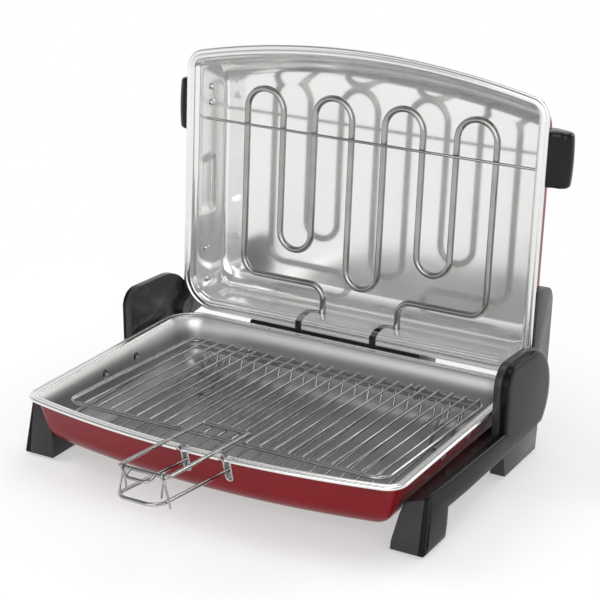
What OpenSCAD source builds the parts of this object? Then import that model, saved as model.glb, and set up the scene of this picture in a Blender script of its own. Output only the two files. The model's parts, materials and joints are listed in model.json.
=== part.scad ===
// Electric kebab grill: a red pan on two black side frames, a hinged lid that carries the heating element,
// and a wire basket of two grids that lifts out of the pan.
// Millimetres, +Z up, the front faces -Y. The origin is on the table, under the middle of the whole grill.
// The lid stands open, as the grill is shown. Lid pieces are drawn closed and then turned by lid_open.

/* [Pan and lid] */
// Width of the pan and of the lid over their rims
pan_w = 420; // [400:1:460]
// Depth from the rear rim to the front corners
pan_d = 290; // [280:1:320]
// How far the front edge bows out in the middle
front_bow = 20; // [12:1:26]
// Corner radius of the rims at the rear
rear_r = 38; // [34:1:44]
// Corner radius of the rims at the front
front_r = 22; // [18:1:28]
// Height of the pan's rim above the table
rim_h = 75; // [72:1:90]
// Height of the pan from its rim to its underside
pan_depth = 55; // [50:1:58]
// Radius between the pan's walls and its floor
pan_floor_r = 28; // [22:1:30]
// Height of the lid from its rim to its top
lid_depth = 56; // [52:1:66]
// Radius between the lid's walls and its top
lid_top_r = 7; // [5:1:9]
// Radius between the lid's front wall and its top
lid_front_r = 36; // [28:1:40]
// Width of the flat part of the rims
rim_w = 9.3; // [8:0.1:11]
// Height of the rolled edge of the rims
rim_roll = 4; // [3:0.1:5]
// Thickness of the rolled edge of the rims
roll_t = 2.4; // [2:0.1:3]
// Thickness of the pressed sheet
sheet = 1.6; // [1.2:0.1:2]
// Gap between the two rims when the lid is shut
rim_gap = 0.6; // [0.4:0.1:1.5]
// How far the lid stands open, in degrees
lid_open = 93.7; // [90:0.1:98]

/* [Pan holes] */
// Diameter of the vent holes in the pan's side walls
vent_d = 8; // [6:0.5:10]
// Distance of the rear vent holes from the rear rim
vent_y = 113; // [105:1:125]
// Distance between the two vent holes of one side
vent_pitch = 56; // [45:1:65]
// Height of the vent holes below the rim
vent_drop = 17; // [14:1:20]
// Width of the notches in the front wall
notch_w = 6; // [5:0.5:8]
// Depth of the notches below the rim
notch_drop = 29; // [26:1:30]

/* [Side frames] */
// Gap between the pan's rim and the hinge towers
tower_gap = 3; // [2:0.5:6]
// Thickness of a hinge tower without its cover
tower_t = 7; // [5:0.5:9]
// Thickness of the outer covers
cover_t = 8; // [7:0.5:12]
// How far the covers lean in at the top of the front feet
cover_lean = 5; // [3:0.5:6]
// Height of the hinge towers above the rim
tower_rise = 48; // [42:1:54]
// Distance from the rear rim to the front of the hinge towers
tower_front = 93; // [84:1:100]
// Radius of the round rear of the hinge towers
tower_r = 51; // [46:1:54]
// Radius of the upper front corner of the hinge towers
tower_corner = 22; // [18:1:26]
// Height of the arms' underside above the table
arm_bottom = 30; // [26:1:34]
// Height of the arms' top above the table
arm_top = 55; // [50:1:60]
// Depth of the arms' inner ledge below their outer rail
ledge_d = 9; // [6:0.5:11]
// Height by which the ledge rises towards the outer rail
ledge_rise = 6; // [3:0.5:7]
// Distance of the front feet behind the pan's front edge
foot_back = 44; // [35:1:60]
// How far the front feet lean forward
foot_lean = 10; // [6:0.5:14]
// Depth of the front feet at the table
foot_d = 45; // [36:1:55]
// Width of the front feet at the table
foot_w = 36.5; // [32:0.5:40]
// Length of the rear foot blocks
rear_foot_l = 89; // [70:1:100]
// Width of the rear foot blocks
rear_foot_w = 16; // [14:1:20]
// Thickness of the rubber pads under the feet
pad_t = 2; // [1.5:0.5:4]

/* [Hinge] */
// Distance of the hinge axis behind the rear rim
hinge_back = 2; // [1.5:0.5:4]
// Diameter of the hinge pins
pin_d = 8; // [6:0.5:9]
// Outer diameter of the bushes in the lid arms
bush_d = 12; // [11:0.5:14]
// Radial running clearance of the pins in the bushes
pin_fit = 0.05; // [0.02:0.01:0.1]
// Radius of the eyes of the lid arms
eye_r = 11; // [9.5:0.5:12]
// Length of the lid arms along the lid
arm_l = 91; // [80:1:100]
// Height of the lid arms above the lid's rim
arm_h = 45; // [38:1:48]
// Radius of the free corner of the lid arms
arm_corner = 20; // [14:1:24]
// Radius of the raised discs round the pins, on the towers' inner sides
boss_r = 21.5; // [18:0.5:26]

/* [Lid handles] */
// How far the lid handles stand out beyond the rim
handle_out = 20; // [16:1:28]
// Length of a lid handle
handle_l = 56; // [46:1:64]
// Distance from the front edge to the middle of the lid handles
handle_back = 85; // [78:1:95]
// Height of the handle screws above the lid's rim
handle_screw_h = 27; // [24:1:30]
// Distance between the two screws of a handle
handle_screw_pitch = 17.5; // [14:0.5:24]

/* [Heating element] */
// Diameter of the element's tube
tube_d = 7; // [6:0.1:8]
// Height of the element above the lid's rim
element_h = 25; // [22:1:28]
// Bend radius of the loops at the front
front_loop_r = 22.25; // [20:0.25:24]
// Bend radius of the loops at the rear
rear_loop_r = 19.25; // [17:0.25:21]
// Distance from the front edge to the centres of the front loops
loop_back = 58; // [52:1:66]
// Distance from the cross runs to the rear ends of the outer loops, between their middle lines
loop_gap = 15.25; // [12:0.25:20]
// Distance from the rear rim to the rear end of the middle loop
middle_rear = 50.5; // [48:0.5:60]
// Distance from the rear rim to the element's cross runs
run_y = 46; // [42:1:48]
// Half the distance between the element's two ends
end_x = 45.5; // [42:0.5:50]
// Diameter of the support rod
rod_d = 3; // [2.5:0.1:4]
// Distance of the support rod behind the centres of the front loops
rod_back = 40.5; // [36:0.5:48]

/* [Terminal box] */
// Reach of the terminal box to the left of the middle
box_left = 124; // [110:1:150]
// Reach of the terminal box to the right of the middle
box_right = 83; // [70:1:110]
// Depth of the terminal box behind the lid
box_d = 31; // [28:1:36]
// Height of the terminal box
box_h = 42; // [38:1:46]
// Wall thickness of the terminal box
box_wall = 2; // [1.6:0.1:3]
// Diameter of the mains cord that the gland takes
cord_d = 7.5; // [6:0.5:9]

/* [Basket] */
// Gap between the basket and the pan's left wall
basket_gap_left = 35; // [8:1:40]
// Gap between the basket and the pan's right wall
basket_gap_right = 6; // [4:1:12]
// Distance from the rear rim to the basket's rear rail
basket_rear = 57; // [50:1:66]
// Gap between the basket's front corners and the pan's front wall
basket_gap_front = 1.37; // [0.8:0.01:8]
// Diameter of the frames' wire
rail_d = 4; // [3:0.1:4.5]
// Diameter of the grid wires
wire_d = 2.5; // [2:0.1:3]
// Number of wires in each grid
grid_wires = 23; // [19:2:27]
// Height of the lower frame below the rim
lower_drop = 16; // [14:1:20]
// Depth of the lower grid below its frame
tray_depth = 15; // [10:1:17]
// Distance between the two rear rails
rail_step = 7.5; // [7:0.5:10]
// Slope of the upper grid, in degrees, front up
upper_tilt = 2.5; // [1.5:0.1:4]
// Diameter of the handle wires
grip_d = 3.8; // [3.2:0.1:4.2]
// Distance from the pan's front edge to the end of the handles
grip_out = 90; // [75:1:110]
// Height of the upper handle's end above the rim
grip_top = 19; // [16:1:24]
// Height of the lower handle's end below the rim
grip_low = 6; // [4:1:8]
// How far the ends of the handles bow out
grip_bow = 13; // [10:1:18]
// Half the width of the upper handle's thumb bow
thumb_half = 13; // [11:0.5:14]
// How far the thumb bow drops below the bar
thumb_drop = 4; // [2:0.5:6]
// How far the lower handle's wires run on behind the front rail
grip_tail = 12; // [8:1:16]
// Diameter of the clip wire
clip_d = 2.2; // [1.8:0.1:2.4]
// Diameter of the legs' wire
leg_d = 3; // [2.5:0.1:3.5]
// Distance of the legs from the basket's sides
leg_in = 28; // [24:1:34]
// How far the legs lean inwards
leg_lean = 34; // [28:1:40]
// Half the width of a leg's loop
leg_half = 10; // [8:0.5:12]

/* [Fits] */
// Gap between wires that are welded together
weld_gap = 0.02; // [0.01:0.01:0.05]
// Gap between pieces that only lie against each other
seat_gap = 0.3; // [0.2:0.05:0.5]
// Diameter of the small screws
screw_d = 4; // [3:0.5:5]

/* [Hidden] */
$fn = 48;

// Colours
red_paint = "firebrick";
bare_metal = "silver";
chrome_wire = "gainsboro";
black_plastic = "dimgray";
dark_plastic = "darkslategray";

// Outline of the rims: straight rear and sides, a bowed front, and four round corners
half_w = pan_w / 2;
front_y = pan_d + front_bow;
grip_reach = front_y + grip_out;
bow_half = half_w - front_r;
bow_r = (bow_half * bow_half + front_bow * front_bow) / (2 * front_bow);
rear_steps = 8;
front_steps = 5;
bow_steps = 8;

function arc_points(c, r, a0, a1, n) =
    [for (i = [0:n]) let (t = a0 + (a1 - a0) * i / n) c + r * [cos(t), sin(t)]];

// Smallest corner radius of the pressed sheets
least_r = 8;
// The outline, moved inwards by inset and at the front by front more, from the rear right corner clockwise
function outline(inset, front) =
    let (
        w = half_w - inset,
        rr = max(rear_r - inset, least_r),
        rf = max(front_r - inset, least_r),
        rb = bow_r - inset - front,
        bow_c = [0, bow_r - front_y],
        front_c = [w - rf, bow_c.y - sqrt(pow(rb - rf, 2) - pow(w - rf, 2))],
        rear_c = [w - rr, -inset - rr],
        turn = atan2(front_c.y - bow_c.y, front_c.x)
    )
    concat(
        arc_points(rear_c, rr, 90, 0, rear_steps),
        arc_points(front_c, rf, 0, turn, front_steps),
        [for (i = [1:bow_steps - 1]) bow_c + rb * [cos(turn + (-180 - 2 * turn) * i / bow_steps),
            sin(turn + (-180 - 2 * turn) * i / bow_steps)]],
        arc_points([-front_c.x, front_c.y], rf, -180 - turn, -180, front_steps),
        arc_points([-rear_c.x, rear_c.y], rr, 180, 90, rear_steps)
    );

// Walls of the pressed sheets, as distance in from the rim's edge and distance from the rim
pan_draft = 0.16;
lid_draft = 0.09;
lid_flare = 4;
pan_draft_a = atan(pan_draft);
lid_draft_a = atan(lid_draft);
function pan_wall(d) = rim_w - sheet + pan_draft * d;
function lid_wall(d) =
    rim_w - sheet + (d < lid_flare ? 0 : lid_flare * (1 - exp(-d / lid_flare)) + lid_draft * d);

// A round bottom edge of radius r, seen from outside, for a wall that slopes by angle a
function edge_arc(c, r, a, n) =
    [for (i = [0:n]) let (t = a + (90 - a) * i / n) [c.x - r * cos(t), c.y + r * sin(t)]];

// The rings of a tray, from the inner floor over the rim to the outer floor:
// [inset, distance from the rim, and how much further in the front is]
function tray_rings(inner, outer) = concat(
    [for (i = [len(inner) - 1:-1:0]) inner[i]],
    [
        [rim_w, 0.5], [rim_w - 0.6, 0], [1, 0], [0.3, 0.3], [0, 1], [0, rim_roll - 1], [0.3, rim_roll - 0.3],
        [1, rim_roll], [roll_t, rim_roll], [roll_t, sheet],
        [rim_w - sheet - 0.6, sheet], [rim_w - sheet, sheet + 0.5]
    ],
    outer
);

// A closed sheet through the rings, turned upwards with up = 1 and downwards with up = -1
module tray(rings, up) {
    loops = [for (r = rings) [for (p = outline(r[0], is_undef(r[2]) ? 0 : r[2])) [p.x, p.y, up * r[1]]]];
    n = len(loops[0]);
    m = len(loops);
    points = [for (loop = loops) each loop];
    sides = [for (j = [0:m - 2]) for (i = [0:n - 1]) let (k = (i + 1) % n)
        each [[j * n + i, j * n + k, (j + 1) * n + k], [j * n + i, (j + 1) * n + k, (j + 1) * n + i]]];
    first = [for (i = [n - 1:-1:0]) i];
    last = [for (i = [0:n - 1]) (m - 1) * n + i];
    faces = concat(sides, [first, last]);
    polyhedron(points, up > 0 ? [for (f = faces) [for (i = [len(f) - 1:-1:0]) f[i]]] : faces);
}

// Centres of the round edges between the lid's walls and its top, at the sides and at the front
lid_top_c = [
    lid_wall(lid_depth - lid_top_r * (1 - sin(lid_draft_a))) + lid_top_r * cos(lid_draft_a),
    lid_depth - lid_top_r
];
lid_front_c = [lid_wall(lid_depth - lid_front_r) + lid_front_r, lid_depth - lid_front_r];
// How much further in the front of a ring of the lid is, on the face that lies t inside the outer one
function front_in(inset, d, t) = d <= lid_front_c.y ? 0
    : max(0, lid_front_c.x - sqrt(max(0, pow(lid_front_r - t, 2) - pow(d - lid_front_c.y, 2))) - inset);
floor_steps = 6;
lid_step = 1.6;
lid_step_in = 9;
flare_heights = [2, 4, 6, 9, 14, 20, 26, 32, 38, 43];
// The rings of one face of the lid, from its rim to the sunk middle of its top
function lid_face(t) =
    let (
        rise = t > 0 ? 0 : 0.2,
        walls = [for (h = flare_heights) [lid_wall(h) + t, h + rise]],
        edge = edge_arc(lid_top_c, lid_top_r - t, lid_draft_a, floor_steps),
        panel = lid_top_c.x + lid_step_in,
        more = lid_front_c.x - lid_top_c.x
    )
    concat(
        [for (p = concat(walls, edge)) [p.x, p.y, front_in(p.x, p.y, t)]],
        [[panel, lid_depth - t, more], [panel + 2, lid_depth - lid_step - t, more]]
    );

// Places: the whole grill is moved so that its box stands over the origin
hinge_h = rim_h;
rear_reach = hinge_back + max([for (r = lid_face(0))
    (r[1] + rim_gap) * sin(lid_open) - (front_y - r[0] - r[2] + hinge_back) * cos(lid_open)]);
grip_end = grip_reach + grip_bow + grip_d / 2;
origin_y = (grip_end - rear_reach) / 2;
module place() {
    translate([0, origin_y, 0]) children();
}
module in_lid() {
    place()
        translate([0, hinge_back, hinge_h])
            rotate([-lid_open, 0, 0])
                translate([0, -hinge_back, rim_gap])
                    children();
}
module both_sides() {
    children();
    mirror([1, 0, 0]) children();
}

// Wires: straight rods joined by true bends
function unit(v) = v / norm(v);
function side_of(v) = unit(abs(v.x) < 0.9 * norm(v) ? cross(v, [1, 0, 0]) : cross(v, [0, 1, 0]));
module facing(c, x, y) {
    z = cross(x, y);
    multmatrix([[x.x, y.x, z.x, c.x], [x.y, y.y, z.y, c.y], [x.z, y.z, z.z, c.z]]) children();
}
module rod(p, q, d) {
    v = q - p;
    if (norm(v) > 0.01) {
        z = unit(v);
        x = side_of(v);
        facing(p, x, cross(z, x)) cylinder(h = norm(v), d = d);
    }
}
function corner_angle(a, b, c) = acos(unit(a - b) * unit(c - b));
function corner_run(a, b, c, r) = r / tan(corner_angle(a, b, c) / 2);
module bend(a, b, c, r, d) {
    u = unit(a - b);
    w = unit(c - b);
    half = corner_angle(a, b, c) / 2;
    centre = b + unit(u + w) * (r / sin(half));
    start = b + u * corner_run(a, b, c, r);
    facing(centre, unit(start - centre), -u)
        rotate_extrude(angle = 180 - 2 * half)
            translate([r, 0]) circle(d = d);
}
// A wire through points, bent with radius radii[i] at point i
// The straight lengths are a hair thinner than the bends and end a little inside them
rod_thin = 0.04;
rod_in = 0.2;
module wire(points, radii, d) {
    last = len(points) - 1;
    run = [for (i = [0:last])
        i == 0 || i == last ? 0 : corner_run(points[i - 1], points[i], points[i + 1], radii[i]) - rod_in];
    for (i = [0:last - 1]) {
        way = unit(points[i + 1] - points[i]);
        if (norm(points[i + 1] - points[i]) - run[i] - run[i + 1] > 2 * rod_in + 0.01)
            rod(points[i] + way * run[i], points[i + 1] - way * run[i + 1], d - rod_thin);
    }
    for (i = [1:1:last - 1])
        bend(points[i - 1], points[i], points[i + 1], radii[i], d);
}
// A closed wire through points, bent with radius r at every point
module ring_wire(points, r, d) {
    n = len(points);
    run = [for (i = [0:n - 1])
        corner_run(points[(i + n - 1) % n], points[i], points[(i + 1) % n], r) - rod_in];
    for (i = [0:n - 1]) {
        k = (i + 1) % n;
        way = unit(points[k] - points[i]);
        rod(points[i] + way * run[i], points[k] - way * run[k], d - rod_thin);
        bend(points[(i + n - 1) % n], points[i], points[k], r, d);
    }
}
// A screw with its head at the origin and its shank along +X
module screw(d, l) {
    head_d = 1.8 * d;
    head_h = 0.6 * d;
    rotate([0, -90, 0]) cylinder(h = head_h, d = head_d);
    rotate([0, 90, 0]) cylinder(h = l, d = d);
}

// Places along the lid that follow the front edge
handle_y = front_y - handle_back;
loop_front = front_y - loop_back;
loop_rear = run_y + loop_gap + rear_loop_r;
rod_y = loop_front - rod_back;

// Basket places that the pan's notches follow
basket_left = -half_w + pan_wall(lower_drop) + sheet + basket_gap_left + rail_d / 2;
basket_right = half_w - pan_wall(lower_drop) - sheet - basket_gap_right - rail_d / 2;
basket_x = (basket_left + basket_right) / 2;
basket_w = basket_right - basket_left;
rail_r = 14;
basket_corner = max(basket_right, -basket_left) - rail_r;
pan_front = front_y - bow_r + sqrt(pow(bow_r - pan_wall(lower_drop) - sheet, 2) - pow(basket_corner, 2));
basket_l = pan_front - basket_gap_front - rail_d / 2 - basket_rear;
side_room = 7.5;
pitch = (basket_w - 2 * side_room) / (grid_wires - 1);
low_grip_half = 1.5 * pitch;
top_grip_half = low_grip_half + 3;
lower_h = rim_h - lower_drop;
upper_h = lower_h + rail_step;
wire_step = (rail_d + wire_d) / 2 + weld_gap;

// Pan
notch_x = [for (s = [-1, 1]) basket_x + s * low_grip_half];
vents = [for (i = [0, 1]) vent_y + i * vent_pitch];
floor_c = [
    pan_wall(pan_depth - pan_floor_r * (1 - sin(pan_draft_a))) + pan_floor_r * cos(pan_draft_a),
    pan_depth - pan_floor_r
];
module pan() {
    outer = edge_arc(floor_c, pan_floor_r, pan_draft_a, floor_steps);
    inner = edge_arc(floor_c, pan_floor_r - sheet, pan_draft_a, floor_steps);
    color(red_paint)
        place()
            translate([0, 0, rim_h])
                difference() {
                    tray(tray_rings(inner, outer), -1);
                    for (y = vents)
                        translate([0, -y, -vent_drop])
                            rotate([0, 90, 0]) cylinder(h = pan_w, d = vent_d, center = true);
                    for (x = notch_x)
                        notch(x);
                }
}
module notch(x) {
    cut_l = rim_w + roll_t + pan_floor_r / 2;
    translate([x, -front_y - 1, 0]) {
        translate([-notch_w / 2, 0, notch_w / 2 - notch_drop]) cube([notch_w, cut_l, notch_drop]);
        translate([0, 0, notch_w / 2 - notch_drop]) rotate([-90, 0, 0]) cylinder(h = cut_l, d = notch_w);
    }
}

// Welded studs on the pan's side walls, in blind holes of the arms
foot_front = front_y - foot_back;
stud_d = 5;
stud_h = arm_top - ledge_d - stud_d / 2 - 1;
stud_y = [-tower_front - stud_d, -foot_front + foot_d + 6 * stud_d];
stud_x = half_w - pan_wall(rim_h - stud_h - stud_d / 2) + seat_gap / 2;
stud_l = 12;
module pan_studs() {
    color(bare_metal)
        place()
            both_sides()
                for (y = stud_y)
                    translate([stud_x, y, stud_h]) rotate([0, 90, 0]) cylinder(h = stud_l, d = stud_d);
}

// Side frames: arm, front foot and hinge tower in one moulding, with an outer cover on each
tower_x = half_w + tower_gap;
cover_x = tower_x + tower_t;
frame_x = cover_x + cover_t;
ledge_top = arm_top + 2 - ledge_d;
arm_x = half_w - pan_wall(rim_h - arm_top) + seat_gap + 0.4;
foot_in = frame_x - foot_w;
tower_top = rim_h + tower_rise;
module arm_side(in) {
    top = arm_top - in;
    front = -foot_front + in;
    polygon([
        [front, pad_t], [front + foot_lean - 1, top - 7], [front + foot_lean, top - 2],
        [front + foot_lean + 3, top + 1], [front + foot_lean + 9, top + 2],
        [-foot_front + 60, top], [-tower_front + 20, top], [-5 - in, top], [-in, arm_bottom + 6],
        [-12, arm_bottom], [-foot_front + foot_d + 7, arm_bottom], [-foot_front + foot_d, pad_t]
    ]);
}
// Front view of the inner part of an arm: its inner side leaves room for the pan's round edge
module arm_front() {
    polygon([
        [foot_in, pad_t], [cover_x, pad_t], [cover_x, ledge_top + ledge_rise], [arm_x, ledge_top],
        [arm_x, rim_h - 30], [arm_x - 3, rim_h - 39], [foot_in, pad_t + 8]
    ]);
}
// Side view of a hinge tower, moved inwards by in: round at the rear, with an upright front
disc_c = [hinge_back - 30, rim_h - 5];
corner_c = [-tower_front + tower_corner, tower_top - tower_corner];
tower_steps = 10;
function tangent_angle(c1, r1, c2, r2) = atan2(c2.y - c1.y, c2.x - c1.x) + acos((r1 - r2) / norm(c2 - c1));
module tower_side(in) {
    r1 = tower_corner - in;
    r2 = tower_r - in;
    top = tangent_angle(corner_c, r1, disc_c, r2);
    low = asin((disc_c.y - arm_bottom - in) / r2);
    polygon(concat(
        [[-tower_front + in, arm_bottom + in]],
        arc_points(corner_c, r1, 180, top, tower_steps),
        arc_points(disc_c, r2, top, -low, 3 * tower_steps)
    ));
}
module along_x(x, t) {
    translate([x, 0, 0]) rotate([90, 0, 90]) linear_extrude(t) children();
}
module side_frame_right() {
    difference() {
        union() {
            intersection() {
                along_x(foot_in, foot_w) arm_side(0);
                rotate([90, 0, 0]) linear_extrude(front_y) arm_front();
            }
            along_x(tower_x, tower_t) tower_side(0);
            translate([tower_x - boss_t, hinge_back, hinge_h])
                rotate([0, 90, 0]) cylinder(h = boss_t + 1, r = boss_r);
        }
        pin_hole(tower_x - boss_t - 1, tower_t + boss_t + 2);
        for (y = stud_y)
            translate([stud_x, y, stud_h])
                rotate([0, 90, 0]) cylinder(h = stud_l + seat_gap, d = stud_d + 2 * pin_fit);
        for (p = cover_screw_at)
            translate([tower_x, p[0], p[1]]) cover_screw_hole();
        for (y = rear_screw_y)
            translate([rear_foot_x, y, arm_bottom - 1])
                cylinder(h = rear_screw_in + 1 + seat_gap, d = screw_d + 2 * pin_fit);
    }
}
module pin_hole(x, l) {
    translate([x, hinge_back, hinge_h]) rotate([0, 90, 0]) cylinder(h = l, d = pin_d + 2 * pin_fit);
}
module left_side_frame() {
    color(black_plastic) place() mirror([1, 0, 0]) side_frame_right();
}
module right_side_frame() {
    color(black_plastic) place() side_frame_right();
}

// Outer covers: a raised round shape on each tower and a rail along the arm and the front foot
cover_in = 3;
boss_t = 0.5;
cover_screw_at = [[-tower_front + 18, rim_h - 13], [-8, rim_h - 13]];
cover_screw_l = tower_t + cover_t - 3;
module cover_screw_hole() {
    rotate([0, 90, 0]) cylinder(h = cover_screw_l + seat_gap, d = screw_d + 2 * pin_fit);
    rotate([0, 90, 0]) cylinder(h = 0.6 * screw_d + pin_fit, d = 1.8 * screw_d + 2 * pin_fit);
}
module cover_steps() {
    step = cover_t / 2;
    along_x(cover_x, step) children(0);
    along_x(cover_x + step, cover_t - step) children(1);
}
// What the lean takes off a rail: nothing at the table and at the tower, most at the top of the front foot
module rail_lean() {
    foot = [frame_x, -foot_front, 0];
    along = unit([0, foot_front - tower_front, arm_top + 2]);
    out = unit(cross(along, [-cover_lean, 0, arm_top + 2]));
    facing(foot, along, cross(out, along))
        translate([-foot_front, -foot_front, 0]) cube([2 * foot_front, 2 * foot_front, 3 * cover_t]);
}
module hinge_cover_right() {
    difference() {
        union() {
            cover_steps() {
                tower_side(cover_in);
                tower_side(cover_in + 2);
            }
            difference() {
                cover_steps() {
                    arm_side(0);
                    arm_side(2);
                }
                rail_lean();
            }
        }
        for (p = cover_screw_at)
            translate([tower_x, p[0], p[1]]) cover_screw_hole();
    }
}
module left_hinge_cover() {
    color(dark_plastic) place() mirror([1, 0, 0]) hinge_cover_right();
}
module right_hinge_cover() {
    color(dark_plastic) place() hinge_cover_right();
}
module hinge_cover_screws() {
    color(bare_metal)
        place()
            both_sides()
                for (p = cover_screw_at)
                    translate([tower_x + 0.6 * screw_d, p[0], p[1]])
                        screw(screw_d, cover_screw_l - 0.6 * screw_d);
}

// Rear foot blocks under the arms
rear_foot_in = 6;
rear_foot_x = frame_x - rear_foot_in - rear_foot_w / 2;
rear_foot_y = -7.5;
rear_screw_y = [-rear_foot_y - 0.25 * rear_foot_l, -rear_foot_y - 0.75 * rear_foot_l];
rear_screw_in = 14;
rear_screw_sink = 12;
module rear_foot_right() {
    difference() {
        translate([rear_foot_x, 0, 0])
            along_x(-rear_foot_w / 2, rear_foot_w)
                polygon([
                    [-rear_foot_y - rear_foot_l + 6, pad_t], [-rear_foot_y - rear_foot_l, arm_bottom],
                    [-rear_foot_y - 4, arm_bottom], [-rear_foot_y - 3, arm_bottom - 6],
                    [-rear_foot_y - 6, pad_t]
                ]);
        for (y = rear_screw_y)
            translate([rear_foot_x, y, 0]) {
                cylinder(h = arm_bottom + 1, d = screw_d + 2 * pin_fit);
                cylinder(h = pad_t + rear_screw_sink, d = 1.8 * screw_d + 4 * seat_gap);
            }
    }
}
module left_rear_foot() {
    color(black_plastic) place() mirror([1, 0, 0]) rear_foot_right();
}
module right_rear_foot() {
    color(black_plastic) place() rear_foot_right();
}
module rear_foot_screws() {
    shank = arm_bottom - pad_t - rear_screw_sink + rear_screw_in;
    color(bare_metal)
        place()
            both_sides()
                for (y = rear_screw_y)
                    translate([rear_foot_x, y, pad_t + rear_screw_sink])
                        rotate([0, -90, 0]) screw(screw_d, shank);
}

// Rubber pads under the four feet
module foot_pads() {
    margin = 4;
    front_l = foot_d - 2 * margin;
    rear_l = rear_foot_l - 12 - 2 * margin;
    color("black")
        place()
            both_sides() {
                translate([foot_in + margin, -foot_front + margin, 0])
                    cube([foot_w - 2 * margin, front_l, pad_t]);
                rear_at = -rear_foot_y - rear_foot_l + 6 + margin;
                translate([rear_foot_x - rear_foot_w / 2 + margin, rear_at, 0])
                    cube([rear_foot_w - 2 * margin, rear_l, pad_t]);
            }
}

// Hinge: a pin through each tower, a bush in each lid arm
arm_out = tower_x - boss_t - seat_gap - 0.2;
arm_in = half_w - rim_w + sheet + seat_gap + 0.4;
module hinge_pin_right() {
    translate([arm_in, hinge_back, hinge_h])
        rotate([0, 90, 0]) cylinder(h = tower_x + tower_t - arm_in, d = pin_d);
}
module left_hinge_pin() {
    color(bare_metal) place() mirror([1, 0, 0]) hinge_pin_right();
}
module right_hinge_pin() {
    color(bare_metal) place() hinge_pin_right();
}
module hinge_bush_right() {
    translate([arm_in, hinge_back, -rim_gap])
        rotate([0, 90, 0])
            difference() {
                cylinder(h = arm_out - arm_in, d = bush_d);
                translate([0, 0, -1]) cylinder(h = arm_out - arm_in + 2, d = pin_d + 2 * pin_fit);
            }
}
module left_hinge_bush() {
    color(bare_metal) in_lid() mirror([1, 0, 0]) hinge_bush_right();
}
module right_hinge_bush() {
    color(bare_metal) in_lid() hinge_bush_right();
}

// Lid arms: plates on the lid's side walls that carry the hinge eyes
arm_screw_y = [30.5, 64.5];
arm_screw_h = 22;
arm_foot = rim_roll + seat_gap;
// Behind this distance from the rear rim the lid's round corner leaves the arm free
arm_clear = rear_r - sqrt(pow(rear_r, 2) - pow(arm_in - half_w + rear_r, 2)) - 1;
module lid_arm_right() {
    difference() {
        union() {
            along_x(arm_in, arm_out - arm_in) {
                translate([hinge_back, -rim_gap]) circle(r = eye_r);
                polygon([
                    [hinge_back + eye_r * cos(30), -rim_gap + eye_r * sin(30)],
                    [hinge_back + 4, arm_h - eye_r], [hinge_back - 6, arm_h],
                    [-arm_l + arm_corner, arm_h], [-arm_l + 0.04 * arm_corner, arm_h - arm_corner],
                    [-arm_l, arm_h - arm_corner - 1], [-arm_l, arm_foot],
                    [-arm_clear, arm_foot], [hinge_back - 0.95 * eye_r, -rim_gap]
                ]);
                translate([-arm_l + arm_corner, arm_h - arm_corner]) circle(r = 0.999 * arm_corner);
            }
            for (y = arm_screw_y)
                translate([boss_x(y, arm_screw_h), -y, arm_screw_h])
                    rotate([0, 90, 0]) cylinder(h = arm_in - boss_x(y, arm_screw_h) + 1, d = 3 * screw_d);
        }
        translate([arm_in - 1, hinge_back, -rim_gap])
            rotate([0, 90, 0]) cylinder(h = arm_out - arm_in + 2, d = bush_d + 2 * pin_fit);
        for (y = arm_screw_y)
            translate([boss_x(y, arm_screw_h) - 1, -y, arm_screw_h])
                rotate([0, 90, 0]) cylinder(h = wall_screw_l, d = screw_d + 2 * pin_fit);
    }
}
module left_lid_arm() {
    color(black_plastic) in_lid() mirror([1, 0, 0]) lid_arm_right();
}
module right_lid_arm() {
    color(black_plastic) in_lid() lid_arm_right();
}
// Where the outside of the lid's side wall is, at distance y from the rear rim and height h
function wall_at(y, inset) = y < rear_r
    ? half_w - rear_r + sqrt(pow(rear_r - inset, 2) - pow(rear_r - y, 2))
    : half_w - inset;
function boss_x(y, h) = wall_at(y + 1.5 * screw_d, lid_wall(h - 1.5 * screw_d)) + seat_gap;
function head_x(y, h) = wall_at(y - 0.9 * screw_d, lid_wall(h + 0.9 * screw_d) + sheet) - seat_gap;
wall_screw_l = 14;
module wall_screws(ys, h) {
    color(bare_metal)
        in_lid()
            both_sides()
                for (y = ys)
                    translate([head_x(y, h), -y, h]) screw(screw_d, wall_screw_l - 2);
}
module arm_screws() {
    wall_screws(arm_screw_y, arm_screw_h);
}

// Lid shell
module lid_shell() {
    color(red_paint)
        in_lid()
            difference() {
                tray(tray_rings(lid_face(sheet), lid_face(0)), 1);
                both_sides() {
                    element_slot();
                    for (y = handle_screw_y)
                        wall_hole(y, handle_screw_h, screw_d + 2 * seat_gap);
                    for (y = arm_screw_y)
                        wall_hole(y, arm_screw_h, screw_d + 2 * seat_gap);
                    wall_hole(rod_y, rod_h, rod_d + 2 * seat_gap);
                }
            }
}
module wall_hole(y, h, d) {
    wall_room = 14;
    translate([half_w - rim_w - wall_room, -y, h]) rotate([0, 90, 0]) cylinder(h = 2 * wall_room, d = d);
}
// The slot through the rear wall and the rim in which an end of the element sits
slot_w = tube_d + 4 * seat_gap;
module element_slot() {
    slot_l = rim_w + 16;
    translate([end_x, 1, 0]) {
        translate([-slot_w / 2, -slot_l, -1]) cube([slot_w, slot_l, element_h + 1]);
        translate([0, 0, element_h]) rotate([90, 0, 0]) cylinder(h = slot_l, d = slot_w);
    }
}

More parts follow.
